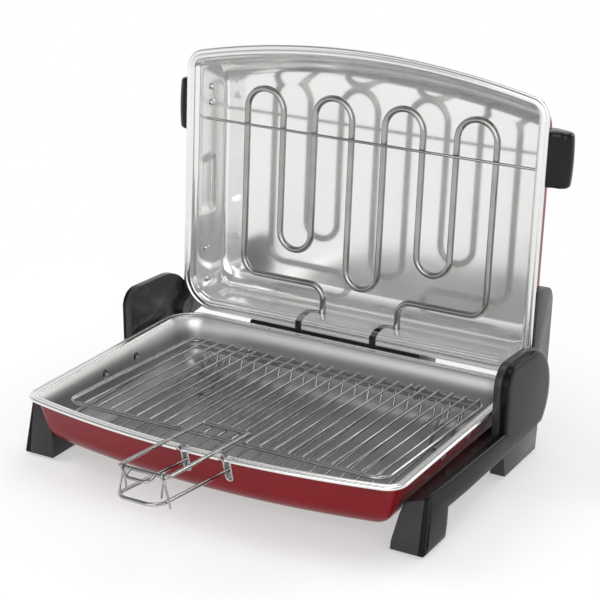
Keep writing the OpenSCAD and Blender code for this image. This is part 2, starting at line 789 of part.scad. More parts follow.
// Heating element: one tube with four loops, its ends through the rear wall into the terminal box
leg1 = rear_loop_r;
leg2 = leg1 + 2 * front_loop_r;
leg3 = leg2 + 2 * rear_loop_r;
leg4 = leg3 + 2 * front_loop_r;
end_r = 16;
run_r = 18;
end_back = 6;
function right_half() = [
    [leg1, middle_rear], [leg1, loop_front], [leg2, loop_front], [leg2, loop_rear], [leg3, loop_rear],
    [leg3, loop_front], [leg4, loop_front], [leg4, run_y], [end_x, run_y], [end_x, -end_back]
];
function right_radii() = [
    rear_loop_r, front_loop_r, front_loop_r, rear_loop_r, rear_loop_r,
    front_loop_r, front_loop_r, run_r, end_r, 0
];
module heating_element() {
    half = right_half();
    bends = right_radii();
    n = len(half);
    points = concat(
        [for (i = [n - 1:-1:0]) [-half[i].x, -half[i].y, element_h]],
        [for (p = half) [p.x, -p.y, element_h]]
    );
    radii = concat([for (i = [n - 1:-1:0]) bends[i]], bends);
    color(bare_metal) in_lid() wire(points, radii, tube_d);
}
rod_h = element_h - (tube_d + rod_d) / 2 - weld_gap;
rod_half = half_w - lid_wall(rod_h) + 1;
module element_support_rod() {
    color(bare_metal)
        in_lid()
            translate([-rod_half, -rod_y, rod_h]) rotate([0, 90, 0]) cylinder(h = 2 * rod_half, d = rod_d);
}

// Lid handles: tabs on the lid's side walls
handle_x = half_w + handle_out;
handle_root = half_w - lid_wall(rim_roll + 4) + seat_gap;
handle_screw_y = [handle_y + 3, handle_y + 3 + handle_screw_pitch];
module lid_handle_right() {
    difference() {
        translate([0, -handle_y + handle_l / 2, 0])
            rotate([90, 0, 0])
                linear_extrude(handle_l)
                    polygon([
                        [handle_root, rim_roll + 4], [handle_root + 6, rim_roll + 3],
                        [handle_x - 12, rim_roll + 8],
                        [handle_x - 4, rim_roll + 10], [handle_x, rim_roll + 13], [handle_x, element_h],
                        [handle_x - 5, element_h + 6], [handle_root + 10, handle_screw_h + 10],
                        [handle_root, handle_screw_h + 11]
                    ]);
        for (y = handle_screw_y)
            translate([handle_root - 1, -y, handle_screw_h])
                rotate([0, 90, 0]) cylinder(h = wall_screw_l, d = screw_d + 2 * pin_fit);
    }
}
module left_lid_handle() {
    color("black") in_lid() mirror([1, 0, 0]) lid_handle_right();
}
module right_lid_handle() {
    color("black") in_lid() lid_handle_right();
}
module handle_screws() {
    wall_screws(handle_screw_y, handle_screw_h);
}

// Terminal box behind the lid's rear wall: housing, cover, screws, and what is inside
box_front = rim_w - sheet - seat_gap;
box_foot = rim_roll + 2;
box_w = box_left + box_right;
box_boss = 9;
box_screw_at = [for (x = [-box_left + box_boss / 2 + 1, box_right - box_boss / 2 - 1],
    h = [box_foot + box_boss / 2 + 1, box_foot + box_h - box_boss / 2 - 1]) [x, h]];
box_cover_t = 2.5;
box_rear = box_d - box_front;
module terminal_box() {
    color(black_plastic)
        in_lid()
            difference() {
                translate([-box_left, -box_front, box_foot]) cube([box_w, box_d, box_h]);
                difference() {
                    translate([-box_left + box_wall, -box_front + box_wall, box_foot + box_wall])
                        cube([box_w - 2 * box_wall, box_d, box_h - 2 * box_wall]);
                    for (p = box_screw_at)
                        translate([p[0], box_rear, p[1]])
                            rotate([90, 0, 0]) cylinder(h = box_d, d = box_boss);
                }
                for (p = box_screw_at)
                    translate([p[0], box_rear + 1, p[1]])
                        rotate([90, 0, 0]) cylinder(h = box_screw_l, d = screw_d + 2 * pin_fit);
                for (s = [-1, 1])
                    translate([s * end_x, 0, element_h])
                        rotate([90, 0, 0]) cylinder(h = box_d, d = bush_out + 2 * pin_fit);
                translate([-box_left - 1, gland_y, gland_h])
                    rotate([0, 90, 0]) cylinder(h = box_wall + 2, d = gland_d + 2 * pin_fit);
            }
}
module terminal_box_cover() {
    color(dark_plastic)
        in_lid()
            difference() {
                translate([-box_left, box_rear, box_foot]) cube([box_w, box_cover_t, box_h]);
                for (p = box_screw_at)
                    translate([p[0], box_rear - 1, p[1]])
                        rotate([-90, 0, 0]) cylinder(h = box_cover_t + 2, d = screw_d + 2 * seat_gap);
            }
}
box_screw_l = 12;
module box_screws() {
    color(bare_metal)
        in_lid()
            for (p = box_screw_at)
                translate([p[0], box_rear + box_cover_t, p[1]])
                    rotate([0, 0, -90]) screw(screw_d, box_screw_l);
}
// Ceramic bushes round the element's ends, in the box's front wall
bush_out = tube_d + 5;
bush_flange = bush_out + 4;
bush_flange_t = 4;
module ceramic_bushes() {
    neck = box_wall + bush_flange_t / 2;
    color("ivory")
        in_lid()
            for (s = [-1, 1])
                translate([s * end_x, -box_front, element_h])
                    rotate([-90, 0, 0])
                        difference() {
                            union() {
                                cylinder(h = neck, d = bush_out);
                                translate([0, 0, box_wall]) cylinder(h = bush_flange_t, d = bush_flange);
                            }
                            translate([0, 0, -1])
                                cylinder(h = box_wall + bush_flange_t + 2, d = tube_d + 2 * pin_fit);
                        }
}
// Terminal pins on the element's ends
terminal_d = 3.2;
terminal_l = 7;
module element_terminals() {
    color(bare_metal)
        in_lid()
            for (s = [-1, 1])
                translate([s * end_x, end_back, element_h])
                    rotate([-90, 0, 0]) cylinder(h = terminal_l, d = terminal_d);
}
// Leads from the terminal pins to the gland, and the earth lead
lead_d = 2.6;
lead_r = 4;
lead_y = end_back + terminal_l + lead_d / 2 + weld_gap;
gland_d = 14;
gland_l = 14;
gland_h = box_foot + box_h / 2;
gland_y = box_rear - gland_d / 2 - 2;
lead_end = -box_left + box_wall + 26;
module lead(from, h) {
    points = [from, [lead_end + 26, from.y, from.z], [lead_end + 14, gland_y, h], [lead_end, gland_y, h]];
    wire(points, [0, lead_r, lead_r, 0], lead_d);
}
module terminal_leads() {
    color("sienna")
        in_lid() {
            lead([end_x + 3, lead_y, element_h + lead_d], gland_h + lead_d);
            lead([-end_x + 3, lead_y, element_h - lead_d], gland_h - lead_d);
        }
}
module earth_tag() {
    tag_x = 0;
    color(bare_metal)
        in_lid()
            translate([tag_x, -box_front + box_wall + weld_gap, box_foot + box_h / 2])
                rotate([-90, 0, 0])
                    difference() {
                        union() {
                            cylinder(h = 0.8, d = 10);
                            translate([-3, 0, 0]) cube([6, 14, 0.8]);
                        }
                        translate([0, 0, -1]) cylinder(h = 3, d = screw_d);
                    }
}
// The gland where the mains cord enters
module cord_gland() {
    collar = 3;
    color("black")
        in_lid()
            translate([-box_left, gland_y, gland_h])
                rotate([0, 90, 0])
                    difference() {
                        union() {
                            translate([0, 0, -gland_l + box_wall + 1]) cylinder(h = gland_l, d = gland_d - 1);
                            cylinder(h = box_wall, d = gland_d);
                            translate([0, 0, -collar]) cylinder(h = collar, d = gland_d + 4);
                        }
                        translate([0, 0, -gland_l - 1]) cylinder(h = 2 * gland_l, d = cord_d);
                    }
}

// Basket: two wire grids, hinged at the rear
function frame_points(l) = [
    [-basket_w / 2, 0, 0], [basket_w / 2, 0, 0], [basket_w / 2, -l, 0], [-basket_w / 2, -l, 0]
];
// Places of the wires, with some left out at each side
function grid_x(out) = [for (i = [out:grid_wires - 1 - out]) (i - (grid_wires - 1) / 2) * pitch];
module in_lower() {
    place() translate([basket_x, -basket_rear, lower_h]) children();
}
module in_upper() {
    place() translate([basket_x, -basket_rear, upper_h]) rotate([-upper_tilt, 0, 0]) children();
}
module lower_frame() {
    color(chrome_wire) in_lower() ring_wire(frame_points(basket_l), rail_r, rail_d);
}
// Each lower wire hangs inside the two rails and dips to the tray's floor
module lower_grid_wires() {
    lean = 20;
    bend_r = 3;
    hook = 2.5;
    in_y = wire_step / cos(lean);
    top_y = in_y - hook * tan(lean);
    floor_y = in_y + tray_depth * tan(lean);
    color(chrome_wire)
        in_lower()
            for (x = grid_x(1))
                wire([
                    [x, -top_y, hook], [x, -floor_y, -tray_depth],
                    [x, -basket_l + floor_y, -tray_depth], [x, -basket_l + top_y, hook]
                ], [0, bend_r, bend_r, 0], wire_d);
}
// The lower handle leaves the front rail, passes the notches and ends in a bow
low_grip_y = -basket_l;
low_grip_z = -(rail_d + grip_d) / 2 - weld_gap;
low_end = [-grip_reach + basket_rear, lower_drop - grip_low];
low_slope = (low_end[1] - low_grip_z) / (low_end[0] - low_grip_y);
module lower_handle() {
    start = [low_grip_y + grip_tail, low_grip_z + low_slope * grip_tail];
    tip = [low_end[0] - grip_bow, low_end[1] - low_slope * grip_bow];
    color(chrome_wire)
        in_lower()
            wire([
                [-low_grip_half, start[0], start[1]], [-low_grip_half, tip[0], tip[1]],
                [low_grip_half, tip[0], tip[1]], [low_grip_half, start[0], start[1]]
            ], [0, grip_bow, grip_bow, 0], grip_d);
}
// Legs that stand the basket on the pan's floor
leg_top = -(rail_d + leg_d) / 2 - weld_gap;
leg_foot = -lower_h + rim_h - pan_depth + sheet + leg_d / 2 + seat_gap;
module basket_legs() {
    leg_x = basket_w / 2 - leg_in - pitch / 2;
    leg_r = leg_half / 2;
    color(chrome_wire)
        in_lower()
            for (y = [0, -basket_l], s = [-1, 1])
                let (foot_y = y + (y == 0 ? -leg_lean : leg_lean), x = s * leg_x)
                    wire([
                        [x - leg_half, y, leg_top], [x - leg_half, foot_y, leg_foot],
                        [x + leg_half, foot_y, leg_foot], [x + leg_half, y, leg_top]
                    ], [0, leg_r, leg_r, 0], leg_d);
}
// Rings that link the two rear rails
link_d = 2;
module hinge_rings() {
    link_r = rail_step / 2 + rail_d / 2 + seat_gap + link_d / 2;
    color(chrome_wire)
        in_lower()
            for (s = [-1, 1])
                translate([s * (floor(grid_wires / 3) - 0.5) * pitch, 0, rail_step / 2])
                    rotate([0, 90, 0]) rotate_extrude() translate([link_r, 0]) circle(d = link_d);
}
module upper_frame() {
    color(chrome_wire) in_upper() ring_wire(frame_points(basket_l), rail_r, rail_d);
}
module upper_grid_wires() {
    over = 1.5;
    color(chrome_wire)
        in_upper()
            for (x = grid_x(0))
                rod([x, over, wire_step], [x, -basket_l - over, wire_step], wire_d);
}
// The upper handle lies on the grid wires and ends in a bar, with a thumb bow in front of it
bar_in = 13;
bar_z = wire_step + (wire_d + grip_d) / 2 + weld_gap;
bar_r = 3;
upper_end = [
    (-grip_reach + basket_rear) * cos(upper_tilt) + (rim_h + grip_top - upper_h) * sin(-upper_tilt),
    (rim_h + grip_top - upper_h) * cos(upper_tilt) - (-grip_reach + basket_rear) * sin(-upper_tilt)
];
module upper_handle() {
    bow_y = upper_end[0] - grip_bow + thumb_drop / 2;
    bow_z = upper_end[1] - thumb_drop;
    thumb_r = 1.25 * thumb_drop;
    color(chrome_wire)
        in_upper() {
            ring_wire([
                [-top_grip_half, -basket_l + bar_in, bar_z], [top_grip_half, -basket_l + bar_in, bar_z],
                [top_grip_half, upper_end[0], upper_end[1]], [-top_grip_half, upper_end[0], upper_end[1]]
            ], bar_r, grip_d);
            wire([
                [-thumb_half, upper_end[0], upper_end[1]], [-thumb_half, bow_y, bow_z],
                [thumb_half, bow_y, bow_z], [thumb_half, upper_end[0], upper_end[1]]
            ], [0, thumb_r, thumb_r, 0], 0.79 * grip_d);
        }
}
// Clips that hang from the upper handle's bar and straddle the lower handle's wires
clip_x = top_grip_half - bar_r - clip_d / 2 - 0.5;
clip_r = grip_d / 2 + 2 * pin_fit + clip_d / 2;
clip_out = low_grip_half + (grip_d + clip_d) / 2 + 1.9;
clip_in = low_grip_half - 4.5;
bar_h = rim_h + grip_top;
low_h = rim_h - grip_low;
module handle_clip(s) {
    top = -clip_r;
    color(chrome_wire)
        place()
            translate([basket_x, -grip_reach, bar_h]) {
                translate([s * clip_x, 0, 0])
                    rotate([0, 90, 0]) rotate_extrude() translate([clip_r, 0]) circle(d = clip_d);
                rod([s * clip_x, 0, top], [s * clip_out, 0, low_h - bar_h - 5], clip_d - 0.1);
                rod([s * clip_x, 0, top], [s * clip_in, 0, low_h - bar_h + grip_d / 2 + 1], clip_d - 0.1);
            }
}
module left_handle_clip() {
    handle_clip(-1);
}
module right_handle_clip() {
    handle_clip(1);
}

pan();
pan_studs();
left_side_frame();
right_side_frame();
left_hinge_cover();
right_hinge_cover();
left_rear_foot();
right_rear_foot();
rear_foot_screws();
foot_pads();
left_hinge_pin();
right_hinge_pin();
hinge_cover_screws();
lid_shell();
heating_element();
element_support_rod();
left_lid_handle();
right_lid_handle();
handle_screws();
left_lid_arm();
right_lid_arm();
arm_screws();
left_hinge_bush();
right_hinge_bush();
terminal_box();
terminal_box_cover();
box_screws();
ceramic_bushes();
element_terminals();
terminal_leads();
earth_tag();
cord_gland();
lower_frame();
lower_grid_wires();
lower_handle();
basket_legs();
hinge_rings();
upper_frame();
upper_grid_wires();
upper_handle();
left_handle_clip();
right_handle_clip();
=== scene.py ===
import json
import math

import bmesh
import bpy
from mathutils import Matrix, Vector


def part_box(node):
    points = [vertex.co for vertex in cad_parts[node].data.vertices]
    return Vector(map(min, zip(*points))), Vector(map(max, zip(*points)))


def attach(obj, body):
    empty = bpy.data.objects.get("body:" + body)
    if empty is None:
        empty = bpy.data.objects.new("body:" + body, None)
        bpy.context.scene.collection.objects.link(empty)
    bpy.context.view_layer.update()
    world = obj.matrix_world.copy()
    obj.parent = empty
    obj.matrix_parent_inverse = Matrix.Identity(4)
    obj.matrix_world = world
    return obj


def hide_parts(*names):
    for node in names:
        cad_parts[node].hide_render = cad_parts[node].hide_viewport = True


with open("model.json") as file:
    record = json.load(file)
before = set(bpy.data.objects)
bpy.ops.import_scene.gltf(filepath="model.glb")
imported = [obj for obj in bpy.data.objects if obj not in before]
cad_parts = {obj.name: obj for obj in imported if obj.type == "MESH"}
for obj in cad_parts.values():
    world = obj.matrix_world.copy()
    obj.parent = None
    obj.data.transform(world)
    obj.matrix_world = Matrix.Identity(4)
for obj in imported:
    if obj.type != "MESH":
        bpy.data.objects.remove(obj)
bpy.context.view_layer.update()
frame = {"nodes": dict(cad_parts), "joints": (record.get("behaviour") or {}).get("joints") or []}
joints = {j["name"]: j for j in frame["joints"]}

# Sizes are in millimetres, as in the part's source: y is 0 at the pan's rear rim and falls towards the front
MM = 0.001
SIDES = (("left", -1), ("right", 1))

# Distances in metres under which two points are one, lie on one plane, or lie on one flat face
SAME, NEAR, FLAT = 2e-6, 1e-5, 2e-5

# Rim, which the pan and the lid share
PAN_W, PAN_D, FRONT_BOW = 420.0, 290.0, 20.0
REAR_R, FRONT_R, LEAST_R = 38.0, 22.0, 8.0
RIM_H, RIM_W, SHEET = 75.0, 9.3, 1.6
WALL_IN, WALL_TOP = RIM_W - SHEET, 2.7
HALF_W, FRONT_Y = PAN_W / 2, PAN_D + FRONT_BOW
BOW_HALF = HALF_W - FRONT_R
BOW_R = (BOW_HALF ** 2 + FRONT_BOW ** 2) / (2 * FRONT_BOW)
REAR_STEPS, FRONT_STEPS, BOW_STEPS = 14, 12, 44

# Pan: inside, the wall turns in over a soft shoulder, and outside it stands further in towards the floor
PAN_DEPTH, PAN_FLOOR_R, PAN_DRAFT, PAN_FLAT = 55.0, 28.0, 0.16, 4.0
SHOULDER_IN, SHOULDER_TOP, SHOULDER_RUN = 5.0, 1.3, 6.0
WALL_SHIFT, WALL_RUN = 3.0, 28.7
PAN_STEPS, PAN_SIDE_STEPS, PAN_ARC_STEPS = (2, 3, 4, 5, 6.5, 8, 10, 13, 17, 22), 8, 16

# Vents in the pan's side walls, and notches in its front wall with their lips
VENT_YS, VENT_XS, VENT_DROP, VENT_D = (113.0, 169.0), (185, 216), 17, 10.0
NOTCH_W, NOTCH_OVER, NOTCH_DROP, NOTCH_YS = 6.0, 3, 26, (-2, 24)
LIP_R, LIP_D, LIP_OUT, LIP_TOP_IN = 3.5, 1.7, 0.3, 1.2
LIP_STEPS, LIP_TURNS = (1.0, 8, 16, NOTCH_DROP), (0.4, 0.8, 1.2, math.pi / 2)

# Lid: its heights are scaled by LID_FIT to stay inside the solid's box
LID_DEPTH, LID_TOP_R, LID_DRAFT, LID_FLARE, LID_FLAT = 56.0, 7.0, 0.09, 4.0, 9
LID_FRONT_R, LID_BACK_R, LID_FIT, LID_OUT_LIFT = 36.0, 24.0, 0.999, 0.4
FLARE_FROM, FLARE_RUN = 1.5, 4.5
LID_STEPS = (2.4, 3.0, 3.6, 4.2, 5.0, 6, 7.5, 9, *range(11, 36, 2), 36.5, 38, 39.5, 41, 43, 45, 47)
LID_SIDE_STEPS, LID_ARC_STEPS = 60, 10
HINGE_BACK, RIM_GAP, LID_OPEN = 2.0, 0.6, math.radians(93.7)
ORIGIN_Y = joints["lid_hinge"]["pos_m"][1] / MM - HINGE_BACK

# Pockets in the lid's side walls: depth, where the side walls begin, and where each slope starts and ends
POCKET_DEPTH, POCKET_X = 2.4, 150
POCKET_FRONT, POCKET_REAR = (-170, -164), (-112, -106)
POCKET_LOW, POCKET_HIGH = (6, 17), (33, 39)

# Element, the rod that carries it, and the hooked slots it leaves the lid by
TUBE_D, ELEMENT_H, ROD_D, ROD_Y, ROD_SINK = 7.0, 25.0, 3.0, 211.5, 1
LOOP_REAR_R, LOOP_FRONT_R = 19.25, 22.25
LOOP_FRONT, OUTER_LOOP, MIDDLE_LOOP, LAST_RUN = 252.0, 80.5, 50.5, 46.0
END_X, END_Y, LAST_R, END_R = 45.5, -6.0, 18.0, 16.0
SLOT_W, SLOT_FOOT, SLOT_YS = TUBE_D + 1.2, -2, (-24, 1)
HOOK_RUN, HOOK_INNER_R, HOOK_OUTER_R = 16.0, 5.0, 9.0

# Basket: WELD is the gap that the solids leave between wires that touch
BASKET_REAR, BASKET_L, BASKET_W, FRAME_R = 57.0, 220.0, 351.28, 14.0
BASKET_X = joints["upper_grid_hinge"]["pos_m"][0] / MM
RAIL_D, WIRE_D, GRIP_D, LEG_D, LINK_D, CLIP_D = 4.0, 2.5, 3.8, 3.0, 2.0, 2.2
WELD = 0.02
WIRE_STEP = (RAIL_D + WIRE_D) / 2 + WELD
GRID_WIRES, GRID_MARGIN = 23, 15.0
PITCH = (BASKET_W - GRID_MARGIN) / (GRID_WIRES - 1)
LOWER_H, RAIL_STEP = 59.0, 7.5
UPPER_H = LOWER_H + RAIL_STEP
TILT = math.radians(2.5)
TRAY_DEPTH, TRAY_LEAN, TRAY_R = 15.0, math.radians(20), 3.0
WIRE_UP, WIRE_OVER = 2.5, 1.5
BEAD_IN, LOWER_BEAD, UPPER_BEAD = 2.3, (1.5, 0.9, 1.3), (1.5, 1.3, 0.9)
LEG_IN, LEG_HALF, LEG_RUN, LEG_R, LEG_PLAY = 28, 10, 34, 5.0, 0.3
LINK_PLAY, LINK_STEPS = 0.3, 40

# Basket's handles, the loop at the upper one's end, and the clips
LOW_GRIP = 1.5 * PITCH
TOP_GRIP = LOW_GRIP + 3.0
LOW_GRIP_IN, TOP_GRIP_IN, GRIP_R = 12, 13, 3.0
GRIP_REACH, GRIP_TOP, GRIP_LOW, GRIP_BOW = 400.0, 19.0, 6.0, 13.0
TIP_HALF, TIP_BACK, TIP_DROP, TIP_R, TIP_D = 13, 2, 4, 5.0, GRIP_D - 0.8
CLIP_PLAY, CLIP_GAP, CLIP_LEG_D, CLIP_STEPS = 0.1, 0.5, CLIP_D - 0.1, 36
CLIP_OUT, CLIP_BELOW, CLIP_IN, CLIP_OVER = 1.9, 5, 4.5, 1

# Hinge covers: CROWN gives the steps of the outer face, as (width, rise)
FOOT_FRONT, TOWER_FRONT, RAIL_TOP, COVER_LEAN = 266.0, 93.0, 57.0, 5.0
COVER_EDGE, CROWN, COVER_FACE = 2.6, ((4.5, 0.8), (4.5, 0.4)), 0.9
CROWN_RISE = sum(rise for width, rise in CROWN)
STRAIGHT = math.radians(0.3)

# Lid handles: the section as (x, height), and the ends as (share of the half length, scale of the section)
HANDLE_Y, HANDLE_HALF, HANDLE_MIDDLE = 225.0, 28.0, (212.0, 23.0)
HANDLE_BOW, HANDLE_ROOT, HANDLE_OUT = 1.5, 200, 30
HANDLE_SECTION = (
    (198.6, 9.4), (200.4, 8.0), (203, 7.2), (205, 7.3), (206.8, 8.2), (209, 9.9), (212, 11.6), (215, 12.8),
    (218, 13.5), (220.5, 13.6), (222.4, 13.0), (223.2, 13.2), (226.6, 15.0), (228.4, 16.6), (229.5, 18.6),
    (229.9, 21), (229.8, 24.5), (228.4, 28), (225, 30.8), (216, 33.8), (208, 36.4), (202, 37.2),
    (198.6, 37.4),
)
HANDLE_END = [(-1.0, 0.80), (-0.985, 0.88), (-0.955, 0.945), (-0.91, 0.985), (-0.85, 1.0)]
HANDLE_RUN = [(-0.7 + 0.1 * i, 1.0) for i in range(15)]

# Screws: the head's profile and the cross recess are in shares of the diameter, the shank is in millimetres
SCREW_D, SCREW_SHANK, SCREW_SIDES, HEAD_TALL = 4.0, 9.0, 28, 0.6
HEAD_PROFILE = (
    (0.5, 0.0), (0.9, 0.0), (0.9, 0.28), (0.86, 0.40), (0.72, 0.52), (0.5, 0.58), (0.3, HEAD_TALL),
)
CROSS_L, CROSS_W, CROSS_MIDDLE, CROSS_TALL, CROSS_TAPER = 0.8, 0.2, 0.62, 0.5, 0.6

# Angles in degrees above which an edge stays sharp
SOFT_EDGE, SHEET_EDGE, WIRE_EDGE, COVER_FOLD, HANDLE_FOLD, SOLID_EDGE = 32, 40, 50, 30, 34, 38

# Angles in degrees below which two faces of a solid are joined, and above which their edge is rounded
JOIN_ANGLE, ROUND_ANGLE = 1.5, 25


def place(p):
    """A point in the part's millimetres, in the row's metres."""
    return Vector((p[0], p[1] + ORIGIN_Y, p[2])) * MM


LID_TURN = Matrix.Rotation(-LID_OPEN, 3, "X")
UPPER_TURN = Matrix.Rotation(-TILT, 3, "X")


def on_lid(p):
    """A point of the closed lid, in millimetres above its rim, in the row's metres with the lid open."""
    q = LID_TURN @ Vector((p[0], p[1] - HINGE_BACK, p[2] + RIM_GAP))
    return place((q.x, q.y + HINGE_BACK, q.z + RIM_H))


def on_pan(p):
    """A point in millimetres above the pan's rim, in the row's metres."""
    return place((p[0], p[1], p[2] + RIM_H))


def on_lower(p):
    """A point in millimetres from the middle of the lower frame's rear wire, in the row's metres."""
    return place((p[0] + BASKET_X, p[1] - BASKET_REAR, p[2] + LOWER_H))


def on_upper(p):
    """A point in millimetres from the middle of the tilted upper frame's rear wire, in the row's metres."""
    q = UPPER_TURN @ Vector(p)
    return place((q.x + BASKET_X, q.y - BASKET_REAR, q.z + UPPER_H))


# Materials: the colour sockets of a Mix node, and the depth of a fine grain in metres
MIX_A, MIX_B, MIX_COLOUR = 6, 7, 2
GRAIN_DEPTH = 0.0002


def new_material(name):
    m = bpy.data.materials.new(name)
    m.use_nodes = True
    return m, m.node_tree, m.node_tree.nodes["Principled BSDF"]


def add(tree, kind, **settings):
    n = tree.nodes.new(kind)
    for key, value in settings.items():
        setattr(n, key, value)
    return n


def coords(tree, space="Object"):
    return add(tree, "ShaderNodeTexCoord").outputs[space]


def noise(tree, scale, detail=3.0, rough=0.5):
    n = add(tree, "ShaderNodeTexNoise")
    n.inputs["Scale"].default_value = scale
    n.inputs["Detail"].default_value = detail
    n.inputs["Roughness"].default_value = rough
    tree.links.new(coords(tree), n.inputs["Vector"])
    return n.outputs["Fac"]


def ramp(tree, fac, stops):
    """A colour that goes through the stops, each a (position, colour)."""
    r = add(tree, "ShaderNodeValToRGB")
    elements = r.color_ramp.elements
    while len(elements) < len(stops):
        elements.new(0.5)
    for e, (position, colour) in zip(elements, stops):
        e.position = position
        e.color = (*colour, 1)
    tree.links.new(fac, r.inputs["Fac"])
    return r.outputs["Color"]


def mottle(tree, fac, low, high):
    """A colour between low and high over the middle of a pattern."""
    return ramp(tree, fac, [(0.3, low), (0.7, high)])


def map_range(tree, value, start, end, low, high, kind="LINEAR"):
    """A number that goes from low to high as the value goes from start to end."""
    r = add(tree, "ShaderNodeMapRange", interpolation_type=kind)
    r.inputs["From Min"].default_value = start
    r.inputs["From Max"].default_value = end
    r.inputs["To Min"].default_value = low
    r.inputs["To Max"].default_value = high
    tree.links.new(value, r.inputs["Value"])
    return r.outputs["Result"]


def spread(tree, fac, low, high):
    """A number between low and high over the middle half of a pattern."""
    return map_range(tree, fac, 0.25, 0.75, low, high)


def fade(tree, value, start, end, low=0.0):
    """A number that goes softly from low to 1 as the value goes from start to end."""
    return map_range(tree, value, start, end, low, 1.0, "SMOOTHSTEP")


def combine(tree, operation, a, b):
    n = add(tree, "ShaderNodeMath", operation=operation)
    tree.links.new(a, n.inputs[0])
    tree.links.new(b, n.inputs[1])
    return n.outputs[0]


def mix_shaders(tree, fac, first, second):
    n = add(tree, "ShaderNodeMixShader")
    tree.links.new(fac, n.inputs["Fac"])
    tree.links.new(first, n.inputs[1])
    tree.links.new(second, n.inputs[2])
    return n.outputs[0]


def bump(tree, bsdf, heights):
    """Stacks (height, strength, distance) bumps on the shader's normal."""
    last = None
    for height, strength, distance in heights:
        b = add(tree, "ShaderNodeBump")
        b.inputs["Strength"].default_value = strength
        b.inputs["Distance"].default_value = distance
        tree.links.new(height, b.inputs["Height"])
        if last is not None:
            tree.links.new(last, b.inputs["Normal"])
        last = b.outputs["Normal"]
    tree.links.new(last, bsdf.inputs["Normal"])


def dress(tree, bsdf, colour, rough):
    tree.links.new(colour, bsdf.inputs["Base Color"])
    tree.links.new(rough, bsdf.inputs["Roughness"])


def warm(tone):
    """A grey with a touch less blue."""
    return (tone, tone, tone * 0.99)


def painted_light_towards_rim(tree, colour, tone):
    """Painted light: the colour, turning to a lighter grey tone over the last stretch below the pan's rim,
    where the upper wall would catch the light.
    """
    below, above = RIM_H - 20, RIM_H - 2
    split = add(tree, "ShaderNodeSeparateXYZ")
    tree.links.new(coords(tree), split.inputs[0])
    mix = add(tree, "ShaderNodeMix", data_type="RGBA")
    mix.inputs[MIX_B].default_value = (*warm(tone), 1)
    tree.links.new(fade(tree, split.outputs["Z"], below * MM, above * MM), mix.inputs["Factor"])
    tree.links.new(colour, mix.inputs[MIX_A])
    return mix.outputs[MIX_COLOUR]


def make_aluminium(name, tones, rough, metal, wave, painted_rim_light=None):
    """Rolled sheet with some haze and waves, and, when given a tone, a painted light towards the pan's rim.
    """
    m, t, b = new_material(name)
    b.inputs["Metallic"].default_value = metal
    colour = mottle(t, noise(t, scale=9, detail=4), warm(tones[0]), warm(tones[1]))
    # Painted light: the upper wall just below the rim is lightened, as if lit there
    if painted_rim_light:
        colour = painted_light_towards_rim(t, colour, painted_rim_light)
    dress(t, b, colour, spread(t, noise(t, scale=34, detail=3, rough=0.55), *rough))
    waves, grain = noise(t, scale=9, detail=1), noise(t, scale=900, detail=2)
    bump(t, b, [(waves, wave, 0.004), (grain, 0.006, GRAIN_DEPTH)])
    return m


def make_red():
    """Enamel with a slight orange peel."""
    m, t, b = new_material("red_enamel")
    colour = mottle(t, noise(t, scale=12), (0.16, 0.002, 0.006), (0.20, 0.004, 0.009))
    dress(t, b, colour, spread(t, noise(t, scale=60), 0.24, 0.32))
    b.inputs["Specular IOR Level"].default_value = 0.22
    bump(t, b, [(noise(t, scale=420, detail=2), 0.05, 0.0004)])
    return m


def make_plastic(name, low, high, rough, grain, grain_scale=1500, shine=0.42):
    """A moulded, fired or woven surface with a fine grain."""
    m, t, b = new_material(name)
    colour = mottle(t, noise(t, scale=25), low, high)
    dress(t, b, colour, spread(t, noise(t, scale=70), rough - 0.05, rough + 0.06))
    b.inputs["Specular IOR Level"].default_value = shine
    bump(t, b, [(noise(t, grain_scale, detail=2), grain, GRAIN_DEPTH)])
    return m


def make_metal(name, low, high, rough, scale):
    """Bare or plated metal. The roughness and the grain are finer than the colour's pattern."""
    m, t, b = new_material(name)
    b.inputs["Metallic"].default_value = 1.0
    colour = mottle(t, noise(t, scale, detail=4), low, high)
    dress(t, b, colour, spread(t, noise(t, scale * 6, detail=3, rough=0.6), *rough))
    bump(t, b, [(noise(t, scale * 20, detail=2), 0.05, GRAIN_DEPTH)])
    return m


ALUMINIUM = make_aluminium("lid_aluminium", (0.86, 0.91), (0.12, 0.15), metal=0.76, wave=0.10)
# The pan's sheet is a darker copy of the lid's aluminium: painted shade for the shaded inside of the pan
SHADED_PAN_METAL = make_aluminium("pan_aluminium_painted_shade", (0.42, 0.50), (0.34, 0.40), metal=0.90, wave=0.05, painted_rim_light=0.88)
RIM_METAL = make_aluminium("rim_aluminium", (0.82, 0.87), (0.20, 0.25), metal=0.95, wave=0.03)
RED = make_red()
BLACK = make_plastic("black_plastic", (0.026, 0.026, 0.0265), (0.034, 0.034, 0.0345),
                     rough=0.24, grain=0.012, shine=0.34)
COVER = make_plastic("cover_plastic", (0.005, 0.005, 0.0053), (0.008, 0.008, 0.0083),
                     rough=0.22, grain=0.012, shine=0.12)
GLOSS = make_plastic("gloss_plastic", (0.004, 0.004, 0.0043), (0.007, 0.007, 0.0073),
                     rough=0.13, grain=0.02, grain_scale=500, shine=0.28)
RUBBER = make_plastic("rubber", (0.012, 0.012, 0.012), (0.02, 0.02, 0.02),
                      rough=0.75, grain=0.3, grain_scale=700)
CERAMIC = make_plastic("ceramic", (0.72, 0.69, 0.61), (0.82, 0.79, 0.71),
                       rough=0.55, grain=0.15, grain_scale=600)
SLEEVE = make_plastic("lead_sleeve", (0.22, 0.10, 0.05), (0.34, 0.17, 0.09),
                      rough=0.7, grain=0.4, grain_scale=900)
CHROME = make_metal("plated_wire", (0.32, 0.318, 0.314), (0.46, 0.458, 0.452), rough=(0.12, 0.22), scale=60)
